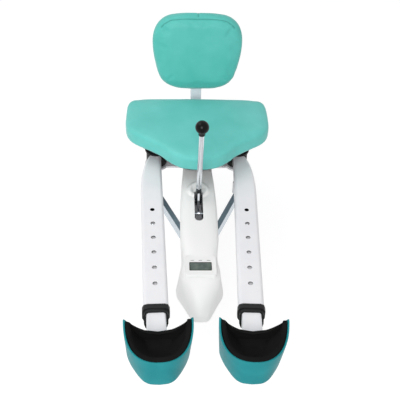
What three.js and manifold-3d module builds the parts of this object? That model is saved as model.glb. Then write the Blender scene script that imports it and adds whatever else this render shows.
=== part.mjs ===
// Leg stretching machine: a padded seat and backrest on a floor frame, and two leg tubes that swing
// apart about upright pins under the seat. A ball-ended lever works a ratchet in the middle housing.
// Its pinions draw a toothed carriage towards the seat, and two link bars push the leg tubes open.
// Units are millimetres. X is the sitter's left and right, -Y points to the feet, +Z is up.
import * as THREE from 'three';
import { mergeVertices } from 'three/addons/utils/BufferGeometryUtils.js';
import Module from 'manifold-3d';

const wasm = await Module();
wasm.setup();

// Fits that several pieces share
const CLEARANCE = 0.3;
const CUT_OVERRUN = 5;

// Height of the leg tubes' top above the floor
const LEG_TOP = 250;

// Leg tubes
const LEG_WIDTH = 60;
const LEG_HEIGHT = 40;
const LEG_WALL = 2;
const LEG_CORNER = 9;
const LEG_FRONT = 598;
const LEG_OFFSET = 18;
const LEG_BEND_START = 178;
const LEG_NECK_END = 16;
const TOE_IN_DEGREES = 2.23;
const PIVOT_X = 117;
const PIVOT_Y = 260;

// Length holes along the top of each leg tube
const HOLE_COUNT = 6;
const HOLE_PITCH = 54;
const HOLE_BORE = 12;
const HOLE_FIRST = 260;

// Swing pins and the plates that hold them
const PIN_DIAMETER = 20;
const PIN_HEAD = 34;
const PIN_HEAD_HEIGHT = 8;
const BARREL_DIAMETER = 46;
const BUSH_WALL = 3;
const BUSH_FLANGE = 3;
const BOOT_DIAMETER = 58;
const PIVOT_PLATE = 6;
const PIVOT_LOBE = 33;
const BOOT_ROOM = 1.5;
const BRIDGE_FRONT = 17;
const UPPER_BRIDGE_FRONT = 0;
const BRIDGE_REAR = 40;

// Sliding inner tubes
const INNER_WIDTH = 46;
const INNER_HEIGHT = 30;
const INNER_WALL = 2;
const INNER_CORNER = 6;
const GUIDE_LENGTH = 12;
const SNAP_DIAMETER = 10;
const SNAP_LENGTH = 14;
const SNAP_SETBACK = 24;

// Collars
const COLLAR_WIDTH = 65;
const COLLAR_HEIGHT = 46;
const COLLAR_FLANGE = 14;
const COLLAR_CORNER = 12;
const NOZZLE_WIDTH = 57;
const NOZZLE_HEIGHT = 41;
const NOZZLE_TOP = 5;
const NOZZLE_BOTTOM = 27;
const PLUG_LENGTH = 20;

// Ankle cups
const CUP_WIDTH = 154;
const CUP_SHIFT = 3;
const CUP_REAR = 694;
const CUP_FRONT_LENGTH = 90;
const CUP_REAR_LENGTH = 12;
const CUP_TIP_RISE = 66;
const CUP_FRONT_RISE = 33;
const CUP_SADDLE_RISE = 12;
const CUP_DEPTH = 50;
const CUP_WALL = 4;
const CUP_FLOOR = 4;
const CUP_TAPER = 6;
const CUP_PAD = 9;
const CUP_PAD_RISE = 6;
const CUP_RIM_POWER = 0.87;
const CUP_REAR_POWER = 0.3;
const CUP_REAR_LEAST = 1;
const CUP_PAD_DROP = 2;

// Link bars and carriage
const LINK_WIDTH = 14;
const LINK_HEIGHT = 28;
const LINK_EYE = 20;
const LINK_DROP = 74;
const LINK_BOLT = 10;
const LUG_AHEAD = 97;
const LUG_DIAMETER = 26;
const CARRIAGE_PIN_X = 20;
const CARRIAGE_PIN_Y = -58;
const CARRIAGE_PLATE = 4;
const CARRIAGE_WIDTH = 62;
const CARRIAGE_NOSE = 52;
const SHOE_WIDTH = 16;
const SHOE_LENGTH = 18;

// Ratchet, pinions and racks
const SHAFT_Y = 90;
const SHAFT_DROP = 46;
const SHAFT_DIAMETER = 12;
const GEAR_MODULE = 3.5;
const PINION_TEETH = 8;
const PINION_WIDTH = 10;
const RACK_TEETH = 16;
const RACK_BODY = 5;
const RACK_OFFSET = 14;
const RATCHET_RADIUS = 21;
const RATCHET_TEETH = 20;
const RATCHET_TOOTH = 3;
const RATCHET_WIDTH = 6;
const GEAR_PLATE = 4;
const GEAR_PLATE_X = 25;
const PAWL_HUB = 10;
const PAWL_PIN = 5;
const PAWL_WIDTH = 5;
const PAWL_TIP = 2;
const PAWL_BITE_DEGREES = 35;
const HOLDING_PAWL_Y = 42;
const HOLDING_PAWL_DROP = 50;

// Lever
const LEVER_LENGTH = 296;
const LEVER_LEAN_DEGREES = 11.8;
const LEVER_ROD = 14;
const KNOB_DIAMETER = 35;
const KNOB_NECK = 18;
const CHEEK_THICKNESS = 3;
const CHEEK_GAP = 8;
const CHEEK_LENGTH = 56;
const CHEEK_RADIUS = 11;
const DRIVE_PAWL_REACH = 36;

// Middle housing
const HOUSING_REAR = 205;
const HOUSING_LENGTH = 462;
const HOUSING_WIDTH = 124;
const HOUSING_DEPTH = 155;
const HOUSING_WALL = 3;
const CROWN_FLATNESS = 0.68;
const SLOT_WIDTH = 23;
const SLOT_FRONT = 0;
const SLOT_REAR = 108;
const MOUTH_DIAMETER = 66;
const MOUTH_Y = 110;
const MOUTH_RISE = 6;
const MOUTH_DROP_SHARE = 0.152;
const MOUTH_TILT_DEGREES = 8.7;
const WINDOW_FRONT = -40;
const WINDOW_REAR = 145;
const WINDOW_MARGIN = 4;

// Display
const PANEL_WIDTH = 82;
const PANEL_LENGTH = 68;
const PANEL_DEPTH = 18;
const PANEL_CORNER = 10;
const PANEL_Y = -147;
const PANEL_DROP = 60.6;
const PANEL_TILT_DEGREES = 4;
const DISPLAY_WIDTH = 57;
const DISPLAY_LENGTH = 28;
const DISPLAY_DEPTH = 6;
const DISPLAY_AHEAD = 4;
const DISPLAY_CORNER = 2;
const GLASS_WIDTH = 53;
const GLASS_LENGTH = 24;
const GLASS_DEPTH = 2;

// Frame
const BEAM_SHARE = 0.55;
const BEAM_HEIGHT = 40;
const BEAM_WALL = 3;
const BEAM_FRONT = -150;
const SPINE_WIDTH = 50;
const SPINE_HEIGHT = 40;
const SPINE_FRONT = -118;
const SPINE_REAR = 612;
const UPRIGHT_DEPTH = 50;
const PEDESTAL_WIDTH = 70;
const PEDESTAL_DEPTH = 70;
const PEDESTAL_FRONT = 262;
const CROSS_LENGTH = 300;
const CROSS_DEPTH = 50;
const FOOT_HEIGHT = 8;
const FOOT_LENGTH = 40;
const TUBE_CORNER = 6;

// Seat
const SEAT_WIDTH = 412;
const SEAT_FRONT = 112;
const SEAT_LENGTH = 299;
const SEAT_RISE = 40;
const SEAT_THICKNESS = 50;
const SEAT_CROWN = 5;
const SEAT_BOARD = 15;
const BEARER_WIDTH = 40;

// Backrest, in a frame that leans back with it and starts at the foot of its front face
const BACK_HEIGHT = 224;
const BACK_WIDTH = 260;
const BACK_THICKNESS = 42;
const BACK_CROWN = 5;
const BACK_LEAN_DEGREES = 9.6;
const BACK_GAP = 1;
const BACK_FOOT_RISE = 107;
const BACK_BOARD = 12;
const POST_WIDTH = 32;
const POST_DEPTH = 20;
const POST_WALL = 2;
const POST_TOP = 130;
const POST_BOTTOM = -225;
const SOCKET_WALL = 3;
const SOCKET_TOP = -112;
const SOCKET_BOTTOM = -205;
const ARM_WIDTH = 40;
const ARM_HEIGHT = 30;
const STAR_KNOB = 46;
const STAR_KNOB_DEPTH = 16;

// Levels worked out from the sizes above
const innerRear = -HOLE_FIRST - HOLE_PITCH + SNAP_SETBACK;
const legMiddle = LEG_TOP - LEG_HEIGHT / 2;
const legBottom = LEG_TOP - LEG_HEIGHT;
const upperPlateZ = LEG_TOP + BUSH_FLANGE + 2 * CLEARANCE;
const lowerPlateZ = legBottom - BUSH_FLANGE - 2 * CLEARANCE - PIVOT_PLATE;
const seatBottom = LEG_TOP + SEAT_RISE;
const linkTop = LEG_TOP - LINK_DROP;
const linkBottom = linkTop - LINK_HEIGHT;
const linkWasher = 1.5 * CLEARANCE;
const shaftZ = LEG_TOP - SHAFT_DROP;
const pinionRadius = GEAR_MODULE * PINION_TEETH / 2;
const rackPitchZ = shaftZ - pinionRadius;
const rackRootZ = rackPitchZ - GEAR_MODULE;
const carriageTop = rackRootZ - RACK_BODY;
const beamTop = linkBottom - 2 * BUSH_FLANGE - CLEARANCE;
const beamBottom = beamTop - BEAM_HEIGHT;
const beamWidth = HOUSING_WIDTH * BEAM_SHARE;
const pedestalRear = PEDESTAL_FRONT + PEDESTAL_DEPTH;
const backFootY = SEAT_FRONT + SEAT_LENGTH + BACK_GAP;

// A ring is a closed loop of points, and a stack of rings is one closed skin
function ringSkin(rings) {
  const count = rings[0].length;
  const middle = (ring) => ring.reduce((sum, p) => sum.add(p), new THREE.Vector3()).divideScalar(count);
  const points = [...rings.flat(), middle(rings[0]), middle(rings[rings.length - 1])];
  const first = points.length - 2;
  const last = points.length - 1;
  const top = (rings.length - 1) * count;
  const faces = [];
  for (let i = 0; i < count; i += 1) {
    const next = (i + 1) % count;
    faces.push(first, next, i, last, top + i, top + next);
    for (let low = 0; low < top; low += count) {
      const high = low + count;
      faces.push(low + i, low + next, high + next, low + i, high + next, high + i);
    }
  }
  const geometry = new THREE.BufferGeometry();
  geometry.setAttribute('position', new THREE.Float32BufferAttribute(points.flatMap((p) => p.toArray()), 3));
  geometry.setIndex(faces);
  return geometry;
}

// A rounded rectangle, counter-clockwise, as points that place(a, b) puts in space
function roundedRing(width, height, corner, steps, place) {
  const ring = [];
  for (let quarter = 0; quarter < 4; quarter += 1) {
    const sideA = quarter === 0 || quarter === 3 ? 1 : -1;
    const sideB = quarter < 2 ? 1 : -1;
    for (let i = 0; i <= steps; i += 1) {
      const angle = (quarter + i / steps) * Math.PI / 2;
      ring.push(place(
        sideA * (width / 2 - corner) + corner * Math.cos(angle),
        sideB * (height / 2 - corner) + corner * Math.sin(angle),
      ));
    }
  }
  return ring;
}

function signedPower(value, power) {
  return Math.sign(value) * Math.abs(value) ** power;
}

function polygon(points) {
  return new THREE.Shape(points.map(([a, b]) => new THREE.Vector2(a, b)));
}

function disc(radius, a = 0, b = 0) {
  return new THREE.Shape().absarc(a, b, radius, 0, 2 * Math.PI);
}

function extrude(shape, depth, curveSegments = 8) {
  return new THREE.ExtrudeGeometry(shape, { depth, bevelEnabled: false, curveSegments });
}

// A placing matrix from a point and turns about X, Y and Z
function at(x, y, z, rx = 0, ry = 0, rz = 0) {
  const turn = new THREE.Quaternion().setFromEuler(new THREE.Euler(rx, ry, rz));
  return new THREE.Matrix4().compose(new THREE.Vector3(x, y, z), turn, new THREE.Vector3(1, 1, 1));
}

// A closed geometry as a solid that can be cut and joined, and back again
function solid(geometry, matrix = at(0, 0, 0)) {
  let bare = geometry.clone();
  bare.deleteAttribute('normal');
  bare.deleteAttribute('uv');
  bare = mergeVertices(bare.applyMatrix4(matrix), 1e-4);
  return new wasm.Manifold(new wasm.Mesh({
    numProp: 3,
    vertProperties: new Float32Array(bare.attributes.position.array),
    triVerts: new Uint32Array(bare.index.array),
  }));
}

function toGeometry(manifold) {
  const mesh = manifold.getMesh();
  const geometry = new THREE.BufferGeometry();
  geometry.setAttribute('position', new THREE.BufferAttribute(mesh.vertProperties, 3));
  geometry.setIndex(new THREE.BufferAttribute(mesh.triVerts, 1));
  return geometry;
}

function join(...parts) {
  return parts.reduce((sum, part) => sum.add(part));
}

function cut(body, ...tools) {
  return tools.reduce((rest, tool) => rest.subtract(tool), body);
}

// Plain solids between given levels
function block(x0, x1, y0, y1, z0, z1) {
  const box = new THREE.BoxGeometry(x1 - x0, y1 - y0, z1 - z0);
  return solid(box, at((x0 + x1) / 2, (y0 + y1) / 2, (z0 + z1) / 2));
}

function rodZ(diameter, x, y, z0, z1, sides = 24) {
  const rod = new THREE.CylinderGeometry(diameter / 2, diameter / 2, z1 - z0, sides);
  return solid(rod, at(x, y, (z0 + z1) / 2, Math.PI / 2));
}

function rodX(diameter, y, z, x0, x1, sides = 20) {
  const rod = new THREE.CylinderGeometry(diameter / 2, diameter / 2, x1 - x0, sides);
  return solid(rod, at((x0 + x1) / 2, y, z, 0, 0, Math.PI / 2));
}

function tubeY(width, height, corner, x, z, y0, y1) {
  const ringAt = (y) => roundedRing(width, height, corner, 2, (a, b) => new THREE.Vector3(x + a, y, z + b));
  return solid(ringSkin([ringAt(y1), ringAt(y0)]));
}

function tubeZ(width, depth, corner, x, y, z0, z1) {
  const ringAt = (z) => roundedRing(width, depth, corner, 2, (a, b) => new THREE.Vector3(x + a, y + b, z));
  return solid(ringSkin([ringAt(z0), ringAt(z1)]));
}

function tubeX(depth, height, corner, y, z, x0, x1) {
  const ringAt = (x) => roundedRing(depth, height, corner, 2, (a, b) => new THREE.Vector3(x, y + a, z + b));
  return solid(ringSkin([ringAt(x0), ringAt(x1)]));
}

// A flat plate cut to an outline in Y and Z, standing from x0 to x1
function sidePlate(shape, x0, x1, segments = 8) {
  const turned = new THREE.Matrix4().makeBasis(
    new THREE.Vector3(0, 1, 0), new THREE.Vector3(0, 0, 1), new THREE.Vector3(1, 0, 0),
  );
  return solid(extrude(shape, x1 - x0, segments), at(x0, 0, 0).multiply(turned));
}

const finishes = {
  whitePaint: { color: 0xeeeeee, roughness: 0.35, metalness: 0 },
  whitePlastic: { color: 0xf2f2f2, roughness: 0.4, metalness: 0 },
  tealLeather: { color: 0x5fc4bd, roughness: 0.5, metalness: 0 },
  tealPlastic: { color: 0x36989c, roughness: 0.35, metalness: 0 },
  foam: { color: 0x141414, roughness: 0.9, metalness: 0 },
  blackPlastic: { color: 0x232323, roughness: 0.5, metalness: 0 },
  glossPlastic: { color: 0x14140f, roughness: 0.15, metalness: 0 },
  blackPaint: { color: 0x1c1c1e, roughness: 0.45, metalness: 0 },
  rubber: { color: 0x1a1a1a, roughness: 0.8, metalness: 0 },
  chrome: { color: 0xc8ced2, roughness: 0.12, metalness: 1 },
  zincSteel: { color: 0x9aa4aa, roughness: 0.35, metalness: 1 },
  darkSteel: { color: 0x4a4a4c, roughness: 0.5, metalness: 0.8 },
  displayGlass: { color: 0x556460, roughness: 0.1, metalness: 0 },
  plywood: { color: 0xb08a5a, roughness: 0.7, metalness: 0 },
  nylon: { color: 0xd8d6ca, roughness: 0.5, metalness: 0 },
};

const machine = new THREE.Group();

function piece(parent, name, manifold, finish) {
  const mesh = new THREE.Mesh(toGeometry(manifold), new THREE.MeshStandardMaterial(finishes[finish]));
  mesh.name = name;
  parent.add(mesh);
}

// Leg tube: its outer side curves in to a neck that meets the swing barrel.
// A negative grow gives the hollow inside it, and a positive one the room that it needs.
function legLoft(side, grow, front, rear) {
  const outer = LEG_OFFSET + LEG_WIDTH / 2 + grow;
  const inner = LEG_OFFSET - LEG_WIDTH / 2 - grow;
  const bend = LEG_BEND_START - grow;
  const stations = [front];
  for (let i = 0; i <= 7; i += 1) {
    stations.push(-bend + (bend + rear) * Math.sin((i / 7) * Math.PI / 2));
  }
  const rings = stations.map((y) => {
    const turned = Math.max(0, (y + bend) / bend);
    const outside = outer * Math.sqrt(1 - turned * turned);
    const width = outside - inner;
    const corner = Math.min(LEG_CORNER + grow, width / 2.2);
    const middle = side * (outside + inner) / 2;
    const place = (a, b) => new THREE.Vector3(middle + a, y, legMiddle + b);
    return roundedRing(width, LEG_HEIGHT + 2 * grow, corner, 3, place);
  });
  return solid(ringSkin(rings.reverse()));
}

function holeY(index) {
  return -HOLE_FIRST - index * HOLE_PITCH;
}

function legTube(side) {
  const tube = cut(
    legLoft(side, 0, -LEG_FRONT, -LEG_NECK_END),
    legLoft(side, -LEG_WALL, -LEG_FRONT - CUT_OVERRUN, -LEG_BEND_START / 2),
  );
  const barrel = rodZ(BARREL_DIAMETER, 0, 0, legBottom, LEG_TOP);
  const boreDiameter = PIN_DIAMETER + 2 * (BUSH_WALL + CLEARANCE);
  const bore = rodZ(boreDiameter, 0, 0, legBottom - CUT_OVERRUN, LEG_TOP + CUT_OVERRUN);
  const holes = Array.from({ length: HOLE_COUNT }, (_, i) => rodZ(
    HOLE_BORE, side * LEG_OFFSET, holeY(i), LEG_TOP - LEG_WALL - CUT_OVERRUN, LEG_TOP + CUT_OVERRUN, 14,
  ));
  const lug = rodZ(LUG_DIAMETER, 0, -LUG_AHEAD, linkTop + linkWasher, legBottom + LEG_WALL);
  const bolt = rodZ(LINK_BOLT, 0, -LUG_AHEAD, linkBottom - BUSH_FLANGE, linkTop + BUSH_FLANGE);
  const head = rodZ(LINK_EYE, 0, -LUG_AHEAD, linkBottom - linkWasher - BUSH_FLANGE, linkBottom - linkWasher, 6);
  return cut(join(tube, barrel, lug, bolt, head), bore, ...holes);
}

function pivotBoot(side) {
  const ring = cut(
    rodZ(BOOT_DIAMETER, 0, 0, legBottom, LEG_TOP),
    rodZ(BARREL_DIAMETER + 2 * CLEARANCE, 0, 0, legBottom - CUT_OVERRUN, LEG_TOP + CUT_OVERRUN),
  );
  return cut(ring, legLoft(side, BOOT_ROOM, -LEG_FRONT, -LEG_NECK_END + CUT_OVERRUN));
}

function pivotBush(atTop) {
  const inner = PIN_DIAMETER / 2 + CLEARANCE;
  const outer = PIN_DIAMETER / 2 + BUSH_WALL;
  const flange = BARREL_DIAMETER / 2 - BUSH_WALL;
  const depth = LEG_HEIGHT / 2 - BUSH_WALL;
  const profile = [
    [inner, -depth], [outer, -depth], [outer, CLEARANCE], [flange, CLEARANCE],
    [flange, BUSH_FLANGE + CLEARANCE], [inner, BUSH_FLANGE + CLEARANCE], [inner, -depth],
  ];
  const bush = new THREE.LatheGeometry(profile.map(([r, h]) => new THREE.Vector2(r, h)), 16);
  return atTop ? solid(bush, at(0, 0, LEG_TOP, Math.PI / 2)) : solid(bush, at(0, 0, legBottom, -Math.PI / 2));
}

// Collar: a moulded sleeve that closes the front of the leg tube and guides the inner tube
function collar(side) {
  const x = side * LEG_OFFSET;
  const rear = -LEG_FRONT - CLEARANCE;
  const flangeFront = rear - COLLAR_FLANGE;
  const flange = tubeY(COLLAR_WIDTH, COLLAR_HEIGHT, COLLAR_CORNER, x, legMiddle, flangeFront, rear);
  const nozzle = tubeY(
    NOZZLE_WIDTH, NOZZLE_HEIGHT, COLLAR_CORNER, x, legMiddle, flangeFront - NOZZLE_BOTTOM, rear,
  );
  const slope = (NOZZLE_BOTTOM - NOZZLE_TOP) / 2;
  const far = flangeFront - 2 * NOZZLE_BOTTOM;
  const slant = polygon([
    [far, legMiddle + NOZZLE_HEIGHT], [far, legMiddle - NOZZLE_HEIGHT],
    [flangeFront - NOZZLE_BOTTOM - slope, legMiddle - NOZZLE_HEIGHT],
    [flangeFront - NOZZLE_TOP + slope, legMiddle + NOZZLE_HEIGHT],
  ]);
  const fit = 2 * (LEG_WALL + CLEARANCE);
  const plug = tubeY(
    LEG_WIDTH - fit, LEG_HEIGHT - fit, LEG_CORNER - LEG_WALL, x, legMiddle, rear - CUT_OVERRUN, rear + PLUG_LENGTH,
  );
  const passage = tubeY(
    INNER_WIDTH + 2 * CLEARANCE, INNER_HEIGHT + 2 * CLEARANCE, INNER_CORNER, x, legMiddle,
    far, rear + PLUG_LENGTH + CUT_OVERRUN,
  );
  const trimmed = cut(nozzle, sidePlate(slant, x - NOZZLE_WIDTH, x + NOZZLE_WIDTH));
  return cut(join(flange, trimmed, plug), passage);
}

function innerTube(side) {
  const x = side * LEG_OFFSET;
  const front = -CUP_REAR - CUP_REAR_LENGTH - CUP_FRONT_LENGTH / 2;
  const tube = tubeY(INNER_WIDTH, INNER_HEIGHT, INNER_CORNER, x, legMiddle, front, innerRear);
  const hollow = tubeY(
    INNER_WIDTH - 2 * INNER_WALL, INNER_HEIGHT - 2 * INNER_WALL, INNER_CORNER - INNER_WALL, x, legMiddle,
    front - CUT_OVERRUN, innerRear + CUT_OVERRUN,
  );
  return cut(tube, hollow, rodZ(SNAP_DIAMETER + 2 * CLEARANCE, x, holeY(1), legMiddle, LEG_TOP + CUT_OVERRUN, 20));
}

// Guide block: a nylon plug in the rear end of the inner tube that fills the leg tube
function guideBlock(side) {
  const x = side * LEG_OFFSET;
  const outerFit = 2 * (LEG_WALL + CLEARANCE);
  const innerFit = 2 * (INNER_WALL + CLEARANCE);
  const rear = innerRear + CLEARANCE;
  const body = tubeY(
    LEG_WIDTH - outerFit, LEG_HEIGHT - outerFit, LEG_CORNER - LEG_WALL, x, legMiddle, rear, rear + GUIDE_LENGTH,
  );
  const tongue = tubeY(
    INNER_WIDTH - innerFit, INNER_HEIGHT - innerFit, INNER_CORNER - INNER_WALL, x, legMiddle,
    rear - GUIDE_LENGTH, rear + CLEARANCE,
  );
  return join(body, tongue);
}

function snapButton(side) {
  const radius = SNAP_DIAMETER / 2;
  const profile = [new THREE.Vector2(0, 0), new THREE.Vector2(radius, 0)];
  for (let i = 0; i <= 4; i += 1) {
    const angle = (i / 4) * Math.PI / 2;
    profile.push(new THREE.Vector2(radius * Math.cos(angle), SNAP_LENGTH - radius + radius * Math.sin(angle)));
  }
  const top = LEG_TOP - LEG_WALL - CLEARANCE;
  const button = new THREE.LatheGeometry(profile, 16);
  return solid(button, at(side * LEG_OFFSET, holeY(1), top - SNAP_LENGTH, Math.PI / 2));
}

// The cup's foot from its side to its front, as shares of half its width and of its front length
const cupFootShares = [
  [1, 0], [0.965, 0.115], [0.925, 0.215], [0.875, 0.325], [0.82, 0.425], [0.755, 0.53], [0.68, 0.645],
  [0.59, 0.765], [0.47, 0.885], [0.27, 0.975], [0, 1],
];

const cupFoot = new THREE.SplineCurve(cupFootShares.map(([across, along]) => new THREE.Vector2(across, along)));

// Where a ring's front runs, from the foot's outline at share 0 to the rim's at share 1
function cupFront(angle, share) {
  const turned = Math.acos(Math.abs(Math.cos(angle))) / (Math.PI / 2);
  const foot = cupFoot.getPoint(turned);
  const across = THREE.MathUtils.lerp(foot.x, Math.abs(Math.cos(angle)) ** CUP_RIM_POWER, share);
  const along = THREE.MathUtils.lerp(foot.y, Math.abs(Math.sin(angle)) ** CUP_RIM_POWER, share);
  return [Math.sign(Math.cos(angle)) * across, -along];
}

// Ankle cup: a moulded scoop with two high rear tips, a lower front and a saddle over the tube.
// One ring of it lies a share of the way up from the base to the rim, drawn in by the inset.
function cupRing(side, inset, share, base, rimLift) {
  const count = 44;
  const ring = [];
  const cupX = side * (LEG_OFFSET - CUP_SHIFT);
  const halfWidth = CUP_WIDTH / 2 - inset;
  for (let i = 0; i < count; i += 1) {
    const angle = (i / count) * 2 * Math.PI;
    const rear = Math.sin(angle) > 0;
    const depth = rear ? Math.max(CUP_REAR_LENGTH - inset, CUP_REAR_LEAST) : CUP_FRONT_LENGTH - inset;
    const [wide, long] = rear
      ? [signedPower(Math.cos(angle), CUP_REAR_POWER), signedPower(Math.sin(angle), CUP_REAR_POWER)]
      : cupFront(angle, share);
    const [x, y] = [halfWidth * wide, depth * long];
    const across = Math.abs(x) / halfWidth;
    const back = rear ? 1 : 1 + y / depth;
    const low = rear ? CUP_SADDLE_RISE : CUP_FRONT_RISE;
    const climb = rear ? across ** 2.4 : back ** 1.6;
    const rim = LEG_TOP + low + (CUP_TIP_RISE - low) * climb + rimLift(rear, across);
    ring.push(new THREE.Vector3(cupX + x, -CUP_REAR - CUP_REAR_LENGTH + y, base + share * (rim - base)));
  }
  return ring;
}

const cupFloor = LEG_TOP - (LEG_HEIGHT - INNER_HEIGHT) / 2 + CLEARANCE + CUP_FLOOR;

function cupShell(side) {
  const flat = () => 0;
  const base = LEG_TOP - CUP_DEPTH;
  const outside = [0, 0.35, 0.7, 1].map((share) => cupRing(side, CUP_TAPER * (1 - share) ** 1.5, share, base, flat));
  const inside = [1, 0.5, 0].map((share) => (
    cupRing(side, CUP_WALL + CUP_TAPER * 0.5 * (1 - share), share, cupFloor, flat)));
  const y = -CUP_REAR - CUP_REAR_LENGTH;
  const skirt = cupRing(side, CUP_TAPER + CUP_WALL, 0, base - CUT_OVERRUN, flat);
  const roof = skirt.map((p) => new THREE.Vector3(p.x, p.y, cupFloor - CUP_FLOOR));
  const tubeRoom = block(
    side * LEG_OFFSET - INNER_WIDTH / 2 - CLEARANCE, side * LEG_OFFSET + INNER_WIDTH / 2 + CLEARANCE,
    y, y + 2 * CUP_REAR_LENGTH, legBottom - CLEARANCE + (LEG_HEIGHT - INNER_HEIGHT) / 2, cupFloor - CUP_FLOOR,
  );
  return cut(solid(ringSkin([...outside, ...inside])), solid(ringSkin([skirt, roof])), tubeRoom);
}

function cupPad(side) {
  const lift = (rear, across) => (rear ? CUP_PAD_RISE - (CUP_PAD_RISE + CUP_PAD_DROP) * across ** 4 : -CUP_PAD_DROP);
  const gap = CUP_WALL + CLEARANCE * 6;
  const base = cupFloor + CLEARANCE;
  const outside = [0, 0.5, 1].map((share) => (
    cupRing(side, gap + CUP_TAPER * 0.5 * (1 - share), share, base, lift)));
  const inside = [1, 0.7, 0.4, 0.15, 0].map((share) => (
    cupRing(side, gap + CUP_PAD + (CUP_WIDTH / 5) * (1 - share) ** 2.2, share, base + CUP_FLOOR / 2, lift)));
  return solid(ringSkin([...outside, ...inside]));
}

// Link bar: a square bar with round eyes, from the lug under a leg tube to the carriage
function linkBar(side) {
  const lug = new THREE.Vector2(0, -LUG_AHEAD)
    .rotateAround(new THREE.Vector2(), -side * THREE.MathUtils.degToRad(TOE_IN_DEGREES))
    .add(new THREE.Vector2(side * PIVOT_X, PIVOT_Y));
  const pin = new THREE.Vector2(side * CARRIAGE_PIN_X, CARRIAGE_PIN_Y);
  const way = pin.clone().sub(lug);
  const eyes = [0, way.length()].map((along) => solid(extrude(disc(LINK_EYE / 2, along), LINK_HEIGHT)));
  const bores = [0, way.length()].map((along) => (
    rodZ(LINK_BOLT + 2 * CLEARANCE, along, 0, -CUT_OVERRUN, LINK_HEIGHT + CUT_OVERRUN)));
  const bar = block(0, way.length(), -LINK_WIDTH / 2, LINK_WIDTH / 2, 0, LINK_HEIGHT);
  return cut(join(bar, ...eyes), ...bores).transform(at(lug.x, lug.y, linkBottom, 0, 0, way.angle()).elements);
}

// Carriage: a plate with a rack strip on each side, a shoe that runs on the beam, and two bolts
function rackStrip(x) {
  const pitch = Math.PI * GEAR_MODULE;
  const start = SHAFT_Y - pitch / 2 - pitch * 0.5;
  const tip = rackPitchZ + GEAR_MODULE * 0.7;
  const rear = start + pitch * 1.5;
  const outline = [[rear, carriageTop], [rear, rackRootZ]];
  for (let i = 0; i < RACK_TEETH; i += 1) {
    const middle = start + pitch / 2 - i * pitch;
    outline.push(
      [middle + pitch * 0.3, rackRootZ], [middle + pitch * 0.1, tip],
      [middle - pitch * 0.1, tip], [middle - pitch * 0.3, rackRootZ],
    );
  }
  const front = start - pitch * RACK_TEETH;
  outline.push([front, rackRootZ], [front, carriageTop]);
  return sidePlate(polygon(outline.reverse()), x - PINION_WIDTH / 2, x + PINION_WIDTH / 2);
}

function carriage() {
  const plateFront = CARRIAGE_PIN_Y - CARRIAGE_NOSE;
  const plate = tubeZ(
    CARRIAGE_WIDTH, CARRIAGE_NOSE + LINK_EYE, LINK_EYE / 2, 0, plateFront + (CARRIAGE_NOSE + LINK_EYE) / 2,
    carriageTop - CARRIAGE_PLATE, carriageTop + CLEARANCE,
  );
  const shoeRear = plateFront + SHOE_LENGTH;
  const shoe = block(-SHOE_WIDTH / 2, SHOE_WIDTH / 2, plateFront + CLEARANCE, shoeRear, beamTop + CLEARANCE, carriageTop);
  const bolts = [-1, 1].map((side) => rodZ(
    LINK_EYE, side * CARRIAGE_PIN_X, CARRIAGE_PIN_Y, linkTop + CLEARANCE, carriageTop, 6,
  ));
  return join(plate, shoe, ...bolts, rackStrip(-RACK_OFFSET), rackStrip(RACK_OFFSET));
}

// Ratchet shaft: a saw-toothed wheel between two pinions on one shaft
function ratchetWheel() {
  const wheel = new THREE.Shape();
  for (let i = 0; i < RATCHET_TEETH; i += 1) {
    const start = (i / RATCHET_TEETH) * 2 * Math.PI;
    const crest = start + (2 * Math.PI / RATCHET_TEETH) * 0.1;
    const root = RATCHET_RADIUS - RATCHET_TOOTH;
    const from = [root * Math.cos(start), root * Math.sin(start)];
    if (i) wheel.lineTo(...from);
    else wheel.moveTo(...from);
    wheel.lineTo(RATCHET_RADIUS * Math.cos(crest), RATCHET_RADIUS * Math.sin(crest));
  }
  const rim = sidePlate(wheel, -RATCHET_WIDTH / 2, RATCHET_WIDTH / 2);
  const bore = rodX(SHAFT_DIAMETER + 2 * CLEARANCE, 0, 0, -RATCHET_WIDTH, RATCHET_WIDTH);
  return cut(rim, bore).transform(at(0, SHAFT_Y, shaftZ).elements);
}

function pinionShaft() {
  const pitch = 2 * Math.PI / PINION_TEETH;
  const tip = pinionRadius + GEAR_MODULE * 0.7;
  const root = pinionRadius - GEAR_MODULE * 0.9;
  const outline = [];
  for (let i = 0; i < PINION_TEETH; i += 1) {
    const middle = -Math.PI / 2 + i * pitch;
    [[-0.28, root], [-0.1, tip], [0.1, tip], [0.28, root]].forEach(([share, radius]) => {
      outline.push([radius * Math.cos(middle + share * pitch), radius * Math.sin(middle + share * pitch)]);
    });
  }
  const gears = [-RACK_OFFSET, RACK_OFFSET].map((x) => (
    sidePlate(polygon(outline), x - PINION_WIDTH / 2, x + PINION_WIDTH / 2)));
  const reach = GEAR_PLATE_X + GEAR_PLATE;
  return join(rodX(SHAFT_DIAMETER, 0, 0, -reach, reach), ...gears).transform(at(0, SHAFT_Y, shaftZ).elements);
}

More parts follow.
